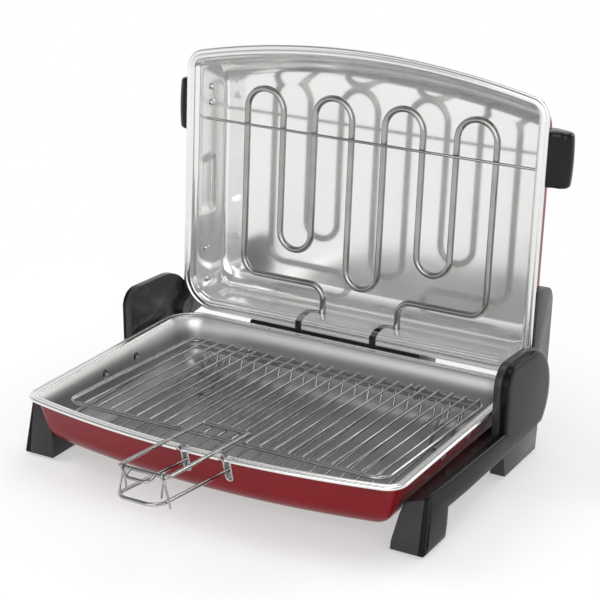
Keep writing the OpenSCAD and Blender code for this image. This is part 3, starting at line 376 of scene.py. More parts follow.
STEEL = make_metal("plain_steel", (0.66, 0.66, 0.66), (0.78, 0.78, 0.775), rough=(0.18, 0.28), scale=90)
DARK_STEEL = make_metal("dark_steel", (0.05, 0.05, 0.05), (0.09, 0.09, 0.088), rough=(0.3, 0.45), scale=90)
ELEMENT = make_metal("element_tube", (0.34, 0.335, 0.328), (0.42, 0.415, 0.406), rough=(0.13, 0.19), scale=40)


# Mesh helpers
def sharpen(bm, angle):
    """Smooths all faces but leaves the edges sharp that turn by more than the angle."""
    for f in bm.faces:
        f.smooth = True
    for e in bm.edges:
        e.smooth = not (len(e.link_faces) == 2 and e.calc_face_angle(0) > math.radians(angle))


def to_mesh(name, bm):
    mesh = bpy.data.meshes.new(name)
    bm.to_mesh(mesh)
    bm.free()
    return mesh


def to_scene(name, data):
    o = bpy.data.objects.new(name, data)
    bpy.context.scene.collection.objects.link(o)
    return o


def finish_piece(name, bm, body, materials, nodes=(), angle=SOFT_EDGE):
    bmesh.ops.recalc_face_normals(bm, faces=bm.faces)
    sharpen(bm, angle)
    return add_piece(name, to_mesh(name, bm), body, materials, nodes)


def add_piece(name, mesh, body, materials, nodes=()):
    o = to_scene(name, mesh)
    for m in materials:
        mesh.materials.append(m)
    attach(o, body)
    if nodes:
        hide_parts(*nodes)
    return o


def apply_modifiers(o):
    dg = bpy.context.evaluated_depsgraph_get()
    made = bpy.data.meshes.new_from_object(o.evaluated_get(dg))
    old = o.data
    o.modifiers.clear()
    o.data = made
    bpy.data.meshes.remove(old)


def node_mesh(node):
    """A solid's mesh, with its faces joined where their corners meet."""
    bm = bmesh.new()
    bm.from_mesh(frame["nodes"][node].data)
    bmesh.ops.remove_doubles(bm, verts=bm.verts, dist=SAME)
    return bm


def bridge(bm, a, b):
    """The faces between two closed rings that have as many points."""
    n = len(a)
    return [bm.faces.new((a[i], a[(i + 1) % n], b[(i + 1) % n], b[i])) for i in range(n)]


def loft(bm, rings):
    """A closed skin through rings, with a face at each end."""
    for a, b in zip(rings, rings[1:]):
        bridge(bm, a, b)
    bm.faces.new(rings[0])
    bm.faces.new(rings[-1])


def arc(c, r, a0, a1, n):
    """The n + 1 points of an arc about c, from the angle a0 to the angle a1."""
    angles = [a0 + (a1 - a0) * i / n for i in range(n + 1)]
    return [(c[0] + r * math.cos(a), c[1] + r * math.sin(a)) for a in angles]


def hoop(x, z, r, n):
    """A closed ring of n points about a line along x at the height z."""
    angles = [2 * math.pi * i / n for i in range(n)]
    return [(x, r * math.cos(a), z + r * math.sin(a)) for a in angles]


def rounded(points, radii, closed=False, turn=math.radians(9)):
    """A path through points with true arcs at the corners."""
    shortest = 1e-4
    pts = [Vector(p) for p in points]
    n = len(pts)
    out = []
    for i, b in enumerate(pts):
        if not closed and i in (0, n - 1):
            out.append(b)
            continue
        u, w = (pts[i - 1] - b).normalized(), (pts[(i + 1) % n] - b).normalized()
        r = radii[i] if isinstance(radii, (list, tuple)) else radii
        half = u.angle(w) / 2
        centre = b + (u + w).normalized() * (r / math.sin(half))
        x = (b + u * (r / math.tan(half)) - centre) / r
        sweep = math.pi - 2 * half
        steps = max(2, math.ceil(sweep / turn))
        for k in range(steps + 1):
            a = sweep * k / steps
            out.append(centre + r * (x * math.cos(a) - u * math.sin(a)))
    clean = [out[0]]
    for p in out[1:]:
        if (p - clean[-1]).length > shortest:
            clean.append(p)
    if closed and (clean[0] - clean[-1]).length < shortest:
        clean.pop()
    return clean


# A wire's rounded end: distance from the end and radius, in shares of the wire's radius
WIRE_END = ((0.0, 0.55), (0.16, 0.86), (0.45, 1.0))

# A direction along which no wire starts
ANY_WAY = Vector((0.31, 0.17, 0.93))


def tube(bm, path, d, to_row, closed=False, sides=14):
    """A round wire of diameter d along a path, with rounded ends."""
    pts = [Vector(p) for p in path]
    n = len(pts)
    r = d / 2
    ways = []
    for i in range(n):
        a = pts[i - 1] if closed or i else pts[0]
        b = pts[(i + 1) % n] if closed or i < n - 1 else pts[-1]
        ways.append((b - a).normalized())
    side = ways[0].cross(ANY_WAY).normalized()
    rings = []
    for i, way in enumerate(ways):
        if i:
            side = ways[i - 1].rotation_difference(way) @ side
            side = (side - way * side.dot(way)).normalized()
        up = way.cross(side)
        spots = [(pts[i], 1.0)]
        if not closed and i == 0:
            spots = [(pts[0] + way * off * r, k) for off, k in WIRE_END]
        if not closed and i == n - 1:
            spots = [(pts[-1] - way * off * r, k) for off, k in reversed(WIRE_END)]
        for spot, k in spots:
            round_spots = arc((0, 0), k * r, 0, 2 * math.pi, sides)[:-1]
            rings.append([bm.verts.new(to_row(spot + side * u + up * v)) for u, v in round_spots])
    if closed:
        # The last joint turns so that the wire closes without a twist
        first, last = rings[0], rings[-1]
        shift = min(range(sides), key=lambda s: (last[s].co - first[0].co).length)
        rings.append([first[(j - shift) % sides] for j in range(sides)])
        for a, b in zip(rings, rings[1:]):
            bridge(bm, a, b)
    else:
        loft(bm, rings)


def lump(bm, centre, size, to_row):
    """A small weld bead."""
    made = bmesh.ops.create_icosphere(bm, subdivisions=2, radius=1.0)
    for v in made["verts"]:
        v.co = to_row(Vector(centre) + v.co * Vector(size))


def cut(piece, cutters):
    """Cuts the cutters out of a piece and removes them."""
    for c in cutters:
        mod = piece.modifiers.new("cut", "BOOLEAN")
        mod.operation = "DIFFERENCE"
        mod.solver = "EXACT"
        mod.object = c
    apply_modifiers(piece)
    for c in cutters:
        bpy.data.objects.remove(c)


def cutter(bm):
    """A closed mesh as an object for cut()."""
    bmesh.ops.recalc_face_normals(bm, faces=bm.faces)
    return to_scene("cutter", to_mesh("cutter", bm))


def hole_cutter(path, d, to_row):
    bm = bmesh.new()
    tube(bm, path, d, to_row, sides=32)
    return cutter(bm)


def slot_cutter(ring, ys, to_row):
    """Cuts through from one y to the other, with a ring of (x, height)."""
    bm = bmesh.new()
    loft(bm, [[bm.verts.new(to_row(Vector((x, y, h)))) for x, h in ring] for y in ys])
    return cutter(bm)


def slot_ring(x, w, foot, top):
    """A slot of width w from the height foot to a round end about the height top."""
    turn = math.copysign(math.pi, top - foot)
    return [(x + w / 2, foot), *arc((x, top), w / 2, 0, turn, 16), (x - w / 2, foot)]


def hook_ring(x, w, foot, top, run):
    """A slot that rises from the height foot beside x and turns to a round end about x at the height top."""
    r, inner, outer = w / 2, HOOK_INNER_R, HOOK_OUTER_R
    x0 = x - run
    ring = [(x0 + r, foot)]
    ring += arc((x0 + r + inner, top - r - inner), inner, math.pi, math.pi / 2, 6)
    ring += arc((x, top), r, -math.pi / 2, math.pi / 2, 12)
    ring += arc((x0 - r + outer, top + r - outer), outer, math.pi / 2, math.pi, 8)
    return ring + [(x0 - r, foot)]


# Pressed sheets
INSIDE, OUTSIDE, RIM = 0, 1, 2

# Rolled rim with a shallow groove inside its bead: distance in from the edge, distance from the rim's plane
RIM_TOP = [
    (RIM_W + 0.1, 1.3), (RIM_W - 0.15, 0.75), (RIM_W - 0.7, 0.35), (RIM_W - 1.4, 0.2), (6.2, 0.25),
    (5.4, 0.5), (4.7, 0.85), (4.1, 0.85), (3.5, 0.5), (2.9, 0.15), (2.3, 0.0), (1.7, 0.02), (1.1, 0.2),
    (0.55, 0.6), (0.17, 1.2), (0.0, 1.9), (0.1, 2.8), (0.45, 3.5), (1.1, 3.93), (1.8, 4.0),
]
RIM_UNDER = [
    (2.3, 3.7), (2.45, 2.8), (2.8, 1.95), (3.6, 1.7),
    (WALL_IN - 1.2, 1.7), (WALL_IN - 0.3, 2.0), (WALL_IN, WALL_TOP),
]


def outline(inset, ahead=0, behind=0, side=PAN_SIDE_STEPS):
    """The rim's outline moved in, more at the front and the rear, from the rear right corner clockwise."""
    w = HALF_W - inset
    rr, rf = max(REAR_R - inset, LEAST_R), max(FRONT_R - inset, LEAST_R)
    rb = BOW_R - inset - ahead
    bow_y = BOW_R - FRONT_Y
    fx = w - rf
    fy = bow_y - math.sqrt((rb - rf) ** 2 - fx ** 2)
    rx, ry = w - rr, -inset - behind - rr
    turn = math.atan2(fy - bow_y, fx)
    right = arc((rx, ry), rr, math.pi / 2, 0, REAR_STEPS)
    right += [(w, ry + (fy - ry) * i / side) for i in range(1, side)]
    right += arc((fx, fy), rf, 0, turn, FRONT_STEPS)
    middle = arc((0, bow_y), rb, turn, -math.pi - turn, BOW_STEPS)[1:-1]
    left = [(-x, y) for x, y in reversed(right)]
    return right + middle + left


def pan_wall(d):
    """How far in the pan's wall is at the depth d."""
    return WALL_IN + PAN_DRAFT * d


def lid_wall(h):
    """How far in the lid's wall is at the height h."""
    if h < LID_FLARE:
        return WALL_IN
    return WALL_IN + (LID_FLARE * (1 - math.exp(-h / LID_FLARE)) + LID_DRAFT * h)


def corner(wall, draft, depth, r):
    """The centre of the arc from a wall to the flat at that depth, and the angle at which the arc starts."""
    a = math.atan(draft)
    return (wall(depth - r * (1 - math.sin(a))) + r * math.cos(a), depth - r), math.pi - a


def sheet_mesh(inner, outer, up, to_row, side=PAN_SIDE_STEPS, press=None):
    """A pressed sheet through rings of an inset, a distance from the rim and what more outline() takes."""
    rings = list(reversed(inner)) + RIM_TOP + RIM_UNDER + outer
    first_rim = len(inner) - 1
    first_out = len(inner) + len(RIM_TOP) - 1
    bm = bmesh.new()
    loops = []
    for inset, d, *more in rings:
        spots = outline(inset, *more, side=side)
        if press:
            spots = [(x + press(x, y, d), y) for x, y in spots]
        loops.append([bm.verts.new(to_row(Vector((x, y, up * d)))) for x, y in spots])
    for j, (a, b) in enumerate(zip(loops, loops[1:])):
        for f in bridge(bm, a, b):
            f.material_index = INSIDE if j < first_rim else RIM if j < first_out else OUTSIDE
    bm.faces.new(loops[0]).material_index = INSIDE
    bm.faces.new(loops[-1]).material_index = OUTSIDE
    return bm


def pan_rings():
    """The pan's inner and outer rings, from the rim to the floor."""
    c, a = corner(pan_wall, PAN_DRAFT, PAN_DEPTH, PAN_FLOOR_R)
    inner = [(pan_wall(d) + SHEET, d) for d in PAN_STEPS]
    inner += arc(c, PAN_FLOOR_R - SHEET, a, math.pi / 2, PAN_ARC_STEPS)
    inner.append((c[0] + PAN_FLAT, PAN_DEPTH - SHEET))
    outer = arc(c, PAN_FLOOR_R, a, math.pi / 2, PAN_ARC_STEPS) + [(c[0] + PAN_FLAT, PAN_DEPTH)]
    inner = [(i + SHOULDER_IN * (1 - math.exp(-(d - SHOULDER_TOP) / SHOULDER_RUN)), d) for i, d in inner]
    return inner, [(i + WALL_SHIFT, d) for i, d in outer]


def build_pan():
    bm = sheet_mesh(*pan_rings(), -1, on_pan)
    materials = [SHADED_PAN_METAL, RED, RIM_METAL]
    pan = finish_piece("pan_skin", bm, "base", materials, ["pan"], SHEET_EDGE)
    cutters = []
    for y in VENT_YS:
        for s in (-1, 1):
            cutters.append(hole_cutter([(s * x, -y, -VENT_DROP) for x in VENT_XS], VENT_D, on_pan))
    for s in (-1, 1):
        ring = slot_ring(BASKET_X + s * LOW_GRIP, NOTCH_W, NOTCH_OVER, -NOTCH_DROP)
        cutters.append(slot_cutter(ring, [-FRONT_Y + y for y in NOTCH_YS], on_pan))
    cut(pan, cutters)


def build_lips():
    """The pressed lips of the pan's notches."""
    left = [(-LIP_R, d) for d in LIP_STEPS]
    left += [(-LIP_R * math.cos(t), NOTCH_DROP + LIP_R * math.sin(t)) for t in LIP_TURNS]
    right = [(-dx, d) for dx, d in reversed(left[:-1])]
    bm = bmesh.new()
    for s in (-1, 1):
        x = BASKET_X + s * LOW_GRIP
        path = []
        for dx, d in left + right:
            drop = (x + dx) ** 2 / (2 * BOW_R)
            wall = pan_wall(d) + WALL_SHIFT * (d - WALL_TOP) / WALL_RUN
            path.append((x + dx, -FRONT_Y + drop + (wall - LIP_OUT if d > WALL_TOP else LIP_TOP_IN), -d))
        tube(bm, path, LIP_D, on_pan, sides=10)
    finish_piece("notch_lips", bm, "base", [SHADED_PAN_METAL])


def ease(v, start, end):
    """A soft step from 0 to 1 as v goes from start to end."""
    k = min(max((v - start) / (end - start), 0), 1)
    return k * k * (3 - 2 * k)


def pocket(x, y, h):
    """How far the long pocket in each side wall of the lid is pressed outwards."""
    if abs(x) <= POCKET_X:
        return 0.0
    along = ease(y, *POCKET_FRONT) * (1 - ease(y, *POCKET_REAR))
    deep = ease(h, *POCKET_LOW) * (1 - ease(h, *POCKET_HIGH))
    return math.copysign(POCKET_DEPTH, x) * along * deep


def lid_flare(h):
    """How far in the lid's wall is at the height h, with a soft start at the rim."""
    t = min(max((h - FLARE_FROM) / FLARE_RUN, 0), 1)
    return WALL_IN * (1 - t) + lid_wall(max(h, LID_FLARE)) * t


def lid_more_in(inset, h, r, t):
    """How much further in a wall with a top edge of radius r is, on the face t inside the outer one."""
    low = LID_DEPTH - r
    if h <= low:
        return 0.0
    reach = math.sqrt(max((r - t) ** 2 - (h - low) ** 2, 0))
    return max(0.0, lid_wall(low) + r - reach - inset)


def lid_rings(t, lift):
    """The lid's rings from the rim to the top, on the face t inside the outer one."""
    c, a = corner(lid_wall, LID_DRAFT, LID_DEPTH, LID_TOP_R)
    edge = arc(c, LID_TOP_R - t, a, math.pi / 2, LID_ARC_STEPS)
    walls = [(lid_flare(h) + t, h + lift) for h in LID_STEPS]
    rings = []
    for inset, h in walls + edge:
        # Only the inside has the larger rounding at the rear
        behind = lid_more_in(inset, h, LID_BACK_R, t) if t else 0.0
        rings.append((inset, h * LID_FIT, lid_more_in(inset, h, LID_FRONT_R, t), behind))
    ahead, behind = rings[-1][2], lid_wall(LID_DEPTH - LID_BACK_R) + LID_BACK_R - c[0]
    rings.append((c[0] + LID_FLAT, (LID_DEPTH - t) * LID_FIT, ahead, behind))
    return rings


def build_lid():
    bm = sheet_mesh(lid_rings(SHEET, 0), lid_rings(0, LID_OUT_LIFT), 1, on_lid, LID_SIDE_STEPS, pocket)
    materials = [ALUMINIUM, RED, RIM_METAL]
    lid = finish_piece("lid_skin", bm, "lid", materials, ["lid_shell"], SHEET_EDGE)
    rings = [hook_ring(s * END_X, SLOT_W, SLOT_FOOT, ELEMENT_H, HOOK_RUN) for s in (-1, 1)]
    cut(lid, [slot_cutter(ring, SLOT_YS, on_lid) for ring in rings])


def build_element():
    """One bent tube. Its right half runs from the middle bend to the end, and its left half mirrors it."""
    rear, front = LOOP_REAR_R, LOOP_FRONT_R
    legs = [rear, rear + 2 * front, 3 * rear + 2 * front, 3 * rear + 4 * front]
    half = [
        (legs[0], MIDDLE_LOOP), (legs[0], LOOP_FRONT), (legs[1], LOOP_FRONT), (legs[1], OUTER_LOOP),
        (legs[2], OUTER_LOOP), (legs[2], LOOP_FRONT), (legs[3], LOOP_FRONT), (legs[3], LAST_RUN),
        (END_X, LAST_RUN), (END_X, END_Y),
    ]
    bends = [rear, front, front, rear, rear, front, front, LAST_R, END_R, 0]
    points = [(-x, -y, ELEMENT_H) for x, y in reversed(half)] + [(x, -y, ELEMENT_H) for x, y in half]
    bm = bmesh.new()
    tube(bm, rounded(points, bends[::-1] + bends, turn=math.radians(6)), TUBE_D, on_lid, sides=22)
    finish_piece("element_tube", bm, "lid", [ELEMENT], ["heating_element"], WIRE_EDGE)


def build_rod():
    h = ELEMENT_H - (TUBE_D + ROD_D) / 2 - WELD
    reach = HALF_W - lid_wall(h) + ROD_SINK
    bm = bmesh.new()
    tube(bm, [(-reach, -ROD_Y, h), (reach, -ROD_Y, h)], ROD_D, on_lid, sides=16)
    finish_piece("support_rod", bm, "lid", [CHROME], ["element_support_rod"], WIRE_EDGE)


# Basket
GRID_XS = [(i - (GRID_WIRES - 1) / 2) * PITCH for i in range(GRID_WIRES)]


def wire_piece(name, bm, body, node):
    finish_piece(name, bm, body, [CHROME], [node], WIRE_EDGE)


def build_frame_wire(name, body, node, to_row):
    w = BASKET_W / 2
    corners = [(-w, 0, 0), (w, 0, 0), (w, -BASKET_L, 0), (-w, -BASKET_L, 0)]
    bm = bmesh.new()
    tube(bm, rounded(corners, FRAME_R, closed=True), RAIL_D, to_row, closed=True)
    wire_piece(name, bm, body, node)


def build_lower_wires():
    """The wires of the tray, which hang inside the lower frame and lean in."""
    in_y = WIRE_STEP / math.cos(TRAY_LEAN)
    top_y = in_y - WIRE_UP * math.tan(TRAY_LEAN)
    floor_y = in_y + TRAY_DEPTH * math.tan(TRAY_LEAN)
    bm = bmesh.new()
    for x in GRID_XS[1:-1]:
        points = [(x, -top_y, WIRE_UP), (x, -floor_y, -TRAY_DEPTH),
                  (x, -BASKET_L + floor_y, -TRAY_DEPTH), (x, -BASKET_L + top_y, WIRE_UP)]
        tube(bm, rounded(points, TRAY_R), WIRE_D, on_lower, sides=10)
        for y in (-BEAD_IN, -BASKET_L + BEAD_IN):
            lump(bm, (x, y, 0), LOWER_BEAD, on_lower)
    wire_piece("lower_wires", bm, "basket", "lower_grid_wires")


def build_lower_grip():
    z0 = -(RAIL_D + GRIP_D) / 2 - WELD
    end_y, end_z = -GRIP_REACH + BASKET_REAR, RIM_H - LOWER_H - GRIP_LOW
    slope = (end_z - z0) / (end_y + BASKET_L)
    start = (-BASKET_L + LOW_GRIP_IN, z0 + slope * LOW_GRIP_IN)
    tip = (end_y - GRIP_BOW, end_z - slope * GRIP_BOW)
    points = [(-LOW_GRIP, *start), (-LOW_GRIP, *tip), (LOW_GRIP, *tip), (LOW_GRIP, *start)]
    bm = bmesh.new()
    tube(bm, rounded(points, GRIP_BOW), GRIP_D, on_lower, sides=16)
    wire_piece("lower_grip", bm, "basket", "lower_handle")


def build_legs():
    top = -(RAIL_D + LEG_D) / 2 - WELD
    foot = -LOWER_H + RIM_H - PAN_DEPTH + SHEET + LEG_D / 2 + LEG_PLAY
    bm = bmesh.new()
    for y, way in ((0, -1), (-BASKET_L, 1)):
        foot_y = y + way * LEG_RUN
        for s in (-1, 1):
            x = s * (BASKET_W / 2 - LEG_IN - PITCH / 2)
            points = [(x - LEG_HALF, y, top), (x - LEG_HALF, foot_y, foot),
                      (x + LEG_HALF, foot_y, foot), (x + LEG_HALF, y, top)]
            tube(bm, rounded(points, LEG_R), LEG_D, on_lower, sides=12)
    wire_piece("stand_legs", bm, "basket", "basket_legs")


def build_links():
    """The rings that hold the two frames together at the rear."""
    r = RAIL_STEP / 2 + RAIL_D / 2 + LINK_PLAY + LINK_D / 2
    bm = bmesh.new()
    for s in (-1, 1):
        x = s * (GRID_WIRES // 3 - 0.5) * PITCH
        tube(bm, hoop(x, RAIL_STEP / 2, r, LINK_STEPS), LINK_D, on_lower, closed=True, sides=12)
    wire_piece("link_rings", bm, "basket", "hinge_rings")


def build_upper_wires():
    bm = bmesh.new()
    for x in GRID_XS:
        ends = [(x, WIRE_OVER, WIRE_STEP), (x, -BASKET_L - WIRE_OVER, WIRE_STEP)]
        tube(bm, ends, WIRE_D, on_upper, sides=12)
        for y in (0, -BASKET_L):
            lump(bm, (x, y, RAIL_D / 2), UPPER_BEAD, on_upper)
    wire_piece("upper_wires", bm, "upper_grid", "upper_grid_wires")


def build_upper_grip():
    """The upper handle, a long closed loop, and the short loop at its end."""
    reach, rise = -GRIP_REACH + BASKET_REAR, RIM_H + GRIP_TOP - UPPER_H
    start = (-BASKET_L + TOP_GRIP_IN, WIRE_STEP + (WIRE_D + GRIP_D) / 2 + WELD)
    end = (reach * math.cos(TILT) - rise * math.sin(TILT), rise * math.cos(TILT) + reach * math.sin(TILT))
    tip = (end[0] - GRIP_BOW + TIP_BACK, end[1] - TIP_DROP)
    grip = [(-TOP_GRIP, *start), (TOP_GRIP, *start), (TOP_GRIP, *end), (-TOP_GRIP, *end)]
    loop = [(-TIP_HALF, *end), (-TIP_HALF, *tip), (TIP_HALF, *tip), (TIP_HALF, *end)]
    bm = bmesh.new()
    tube(bm, rounded(grip, GRIP_R, closed=True), GRIP_D, on_upper, closed=True, sides=16)
    tube(bm, rounded(loop, TIP_R), TIP_D, on_upper, sides=14)
    wire_piece("upper_grip", bm, "upper_grid", "upper_handle")


def build_clip(side, s):
    """A clip on the upper handle's end bar, with a leg on each side of the lower handle's wire."""
    bar_h, drop = RIM_H + GRIP_TOP, GRIP_TOP + GRIP_LOW

    def hang(p):
        return place((p[0] + BASKET_X, p[1] - GRIP_REACH, p[2] + bar_h))

    r = GRIP_D / 2 + CLIP_PLAY + CLIP_D / 2
    x = s * (TOP_GRIP - GRIP_R - CLIP_D / 2 - CLIP_GAP)
    foot_out = (s * (LOW_GRIP + (GRIP_D + CLIP_D) / 2 + CLIP_OUT), 0, -drop - CLIP_BELOW)
    foot_in = (s * (LOW_GRIP - CLIP_IN), 0, -drop + GRIP_D / 2 + CLIP_OVER)
    bm = bmesh.new()
    tube(bm, hoop(x, 0, r, CLIP_STEPS), CLIP_D, hang, closed=True, sides=12)
    for foot in (foot_out, foot_in):
        tube(bm, [(x, 0, -r), foot], CLIP_LEG_D, hang, sides=12)
    wire_piece(side + "_clip_wire", bm, side + "_clip", side + "_handle_clip")


def build_basket():
    build_frame_wire("lower_frame_wire", "basket", "lower_frame", on_lower)
    build_lower_wires()
    build_lower_grip()
    build_legs()
    build_links()
    build_frame_wire("upper_frame_wire", "upper_grid", "upper_frame", on_upper)
    build_upper_wires()
    build_upper_grip()
    for side, s in SIDES:
        build_clip(side, s)


# Mouldings
def soften(node, body, material, width, segments=3):
    """A copy of a solid with rounded edges."""
    bm = node_mesh(node)
    bmesh.ops.dissolve_limit(bm, angle_limit=math.radians(JOIN_ANGLE), verts=bm.verts, edges=bm.edges)
    for f in bm.faces:
        f.material_index = 0
    o = add_piece(node + "_skin", to_mesh(node + "_skin", bm), body, [material], [node])
    mod = o.modifiers.new("round", "BEVEL")
    mod.width = width * MM
    mod.segments = segments
    mod.limit_method = "ANGLE"
    mod.angle_limit = math.radians(ROUND_ANGLE)
    mod.use_clamp_overlap = True
    apply_modifiers(o)
    bm = bmesh.new()
    bm.from_mesh(o.data)
    sharpen(bm, SOLID_EDGE)
    bm.to_mesh(o.data)
    bm.free()


def flat_outline(node, x):
    """The outer loop of a solid's flat face at x, as (y, z) in the row's metres."""
    bm = node_mesh(node)
    flat = {f for f in bm.faces if all(abs(v.co.x - x) < FLAT for v in f.verts)}
    after = {}
    for f in bm.faces:
        for loop in f.loops:
            if f in flat and sum(g in flat for g in loop.edge.link_faces) == 1:
                after[loop.vert.index] = loop.link_loop_next.vert.index
    spots = {v.index: (v.co.y, v.co.z) for v in bm.verts}
    bm.free()
    best = []
    while after:
        start, v = next(iter(after.items()))
        ring = [start]
        del after[start]
        while v != start:
            ring.append(v)
            v = after.pop(v)
        if len(ring) > len(best):
            best = ring
    return [spots[v] for v in best]


def bent_only(ring):
    """The points of a ring at which it turns."""
    keep = []
    for i, p in enumerate(ring):
        u, w = Vector(p) - Vector(ring[i - 1]), Vector(ring[(i + 1) % len(ring)]) - Vector(p)
        if u.length > NEAR and abs(u.angle(w, 0)) > STRAIGHT:
            keep.append(p)
    return keep


def lean_rail(bm, outer, s):
    """Leans a cover's rail in above a line from the front foot's toe to the tower."""
    toe, tower = place((0, -FOOT_FRONT, 0)).y, place((0, -TOWER_FRONT, 0)).y
    top = RAIL_TOP * MM
    everything = bm.verts[:] + bm.edges[:] + bm.faces[:]
    bmesh.ops.bisect_plane(bm, geom=everything, plane_co=(0, tower, 0), plane_no=(0, 1, 0))
    faces = [f for f in bm.faces if f.calc_center_median().y < tower]
    edges = list(dict.fromkeys(e for f in faces for e in f.edges))
    verts = list(dict.fromkeys(v for f in faces for v in f.verts))
    ahead = faces + edges + verts
    bmesh.ops.bisect_plane(bm, geom=ahead, plane_co=(0, toe, 0), plane_no=(0, -top, tower - toe))
    for v in bm.verts:
        if abs(v.co.x - outer) < NEAR and v.co.y < tower + NEAR:
            lean = COVER_LEAN * MM * (v.co.z / top - (v.co.y - toe) / (tower - toe))
            v.co.x -= s * max(lean, 0)


def crown_face(bm, inner, s):
    """Sets a cover's outer face back, brings it out again in two steps and rounds its edge."""
    for v in bm.verts:
        if abs(v.co.x - inner) > MM:
            v.co.x -= s * CROWN_RISE * MM
    bmesh.ops.recalc_face_normals(bm, faces=bm.faces)
    crown = [f for f in bm.faces if f.normal.x * s > COVER_FACE]
    for width, rise in CROWN:
        bmesh.ops.inset_region(bm, faces=crown, thickness=width * MM, depth=rise * MM,
                               use_boundary=True, use_even_offset=True)
    bmesh.ops.recalc_face_normals(bm, faces=bm.faces)
    edges = []
    for e in bm.edges:
        folds = sorted(abs(f.normal.x) > COVER_FACE for f in e.link_faces) == [False, True]
        if folds and all(abs(v.co.x - inner) > MM for v in e.verts):
            edges.append(e)
    bmesh.ops.bevel(bm, geom=edges, offset=COVER_EDGE * MM, offset_type="OFFSET", segments=6, profile=0.5,
                    affect="EDGES", clamp_overlap=True)


def build_cover(side, s):
    """A hinge cover with a leaning rail, a crowned face and one soft outer edge."""
    node = side + "_hinge_cover"
    low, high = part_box(node)
    inner, outer = (low.x, high.x) if s > 0 else (high.x, low.x)
    ring = bent_only(flat_outline(node, inner))
    bm = bmesh.new()
    loft(bm, [[bm.verts.new((x, y, z)) for y, z in ring] for x in (inner, outer)])
    lean_rail(bm, outer, s)
    crown_face(bm, inner, s)
    finish_piece(side + "_cover_skin", bm, "base", [COVER], [node], COVER_FOLD)


def build_handle(side, s):
    """A lid handle: a hollowed front with a raised lip, and a chamfer along its outer edge."""
    mx, mh = HANDLE_MIDDLE
    other_end = [(-t, k) for t, k in reversed(HANDLE_END)]
    bm = bmesh.new()
    rings = []
    for t, k in HANDLE_END + HANDLE_RUN + other_end:
        ring = []
        for x, h in HANDLE_SECTION:
            x = mx + (x - mx) * k - HANDLE_BOW * t * t * max(0, (x - HANDLE_ROOT) / HANDLE_OUT)
            ring.append(bm.verts.new(on_lid((s * x, -HANDLE_Y + t * HANDLE_HALF, mh + (h - mh) * k))))
        rings.append(ring)
    loft(bm, rings)
    node = side + "_lid_handle"
    finish_piece(side + "_handle_skin", bm, "lid", [GLOSS], [node], HANDLE_FOLD)


def build_mouldings():
    for side, s in SIDES:
        soften(side + "_side_frame", "base", BLACK, width=1.6)
        build_cover(side, s)
        soften(side + "_rear_foot", "base", BLACK, width=1.5)
        soften(side + "_lid_arm", "lid", BLACK, width=1.8)
        build_handle(side, s)
    soften("foot_pads", "base", RUBBER, width=0.6, segments=2)
    soften("terminal_box", "lid", BLACK, width=0.8, segments=2)
    soften("terminal_box_cover", "lid", COVER, width=0.6, segments=2)
    soften("cord_gland", "lid", RUBBER, width=0.5, segments=2)


# Screws
def build_screw(name, spot, z, node):
    """A round head with a cross recess, whose underside is at spot and which faces along z."""
    x = z.cross(Vector((0.2, 0.5, 0.84))).normalized()
    y = z.cross(x)
    unit = SCREW_D * MM
    levels = [(HEAD_PROFILE[0][0], -SCREW_SHANK * MM)] + [(r, h * unit) for r, h in HEAD_PROFILE]
    bm = bmesh.new()
    rings = []
    for r, h in levels:
        circle = arc((0, 0), r * unit, 0, 2 * math.pi, SCREW_SIDES)[:-1]
        rings.append([bm.verts.new(spot + x * u + y * v + z * h) for u, v in circle])
    loft(bm, rings)
    screw = finish_piece(name, bm, "lid", [STEEL], [node], SHEET_EDGE)
    cutters = []
    for along, across in ((x, y), (y, x)):
        bm = bmesh.new()
        for v in bmesh.ops.create_cube(bm, size=1.0)["verts"]:
            c = v.co.copy()
            taper = 1.0 if c.z > 0 else CROSS_TAPER
            flat = along * (c.x * CROSS_L * taper) + across * (c.y * CROSS_W * taper)
            v.co = spot + (flat + z * (CROSS_MIDDLE + c.z * CROSS_TALL)) * unit
        cutters.append(cutter(bm))
    cut(screw, cutters)


def islands(node):
    """The points of each separate solid of a node."""
    bm = node_mesh(node)
    seen, found = set(), []
    for start in bm.verts:
        if start in seen:
            continue
        seen.add(start)
        queue, group = [start], []
        while queue:
            v = queue.pop()
            group.append(v.co.copy())
            for e in v.link_edges:
                w = e.other_vert(v)
                if w not in seen:
                    seen.add(w)
                    queue.append(w)
        found.append(group)
    bm.free()
    return found


def build_screws():
    """The screws on the lid's walls face the middle, and those of the terminal box face back."""
    back = (on_lid((0, 1, 0)) - on_lid((0, 0, 0))).normalized()
    for node in ("handle_screws", "arm_screws", "box_screws"):
        for i, group in enumerate(islands(node)):
            middle = sum(group, Vector()) / len(group)
            way = back if node == "box_screws" else Vector((-1 if middle.x > 0 else 1, 0, 0))
            tip = max(p.dot(way) for p in group)
            ends = [p for p in group if tip - p.dot(way) < NEAR]
            spot = sum(ends, Vector()) / len(ends) - way * (HEAD_TALL * SCREW_D * MM)
            build_screw(f"{node}_{i}", spot, way, node)


def dress_rest():
    """Nodes whose solids are right as they are."""
    looks = {
        "pan_studs": STEEL, "rear_foot_screws": STEEL, "hinge_cover_screws": STEEL,
        "left_hinge_pin": DARK_STEEL, "right_hinge_pin": DARK_STEEL,
        "left_hinge_bush": DARK_STEEL, "right_hinge_bush": DARK_STEEL,
        "ceramic_bushes": CERAMIC, "element_terminals": STEEL, "terminal_leads": SLEEVE, "earth_tag": STEEL,
    }
    for node, material in looks.items():
        for s in frame["nodes"][node].material_slots:
            s.material = material


build_pan()
build_lips()
build_lid()
build_element()
build_rod()
build_basket()
build_mouldings()
build_screws()
dress_rest()


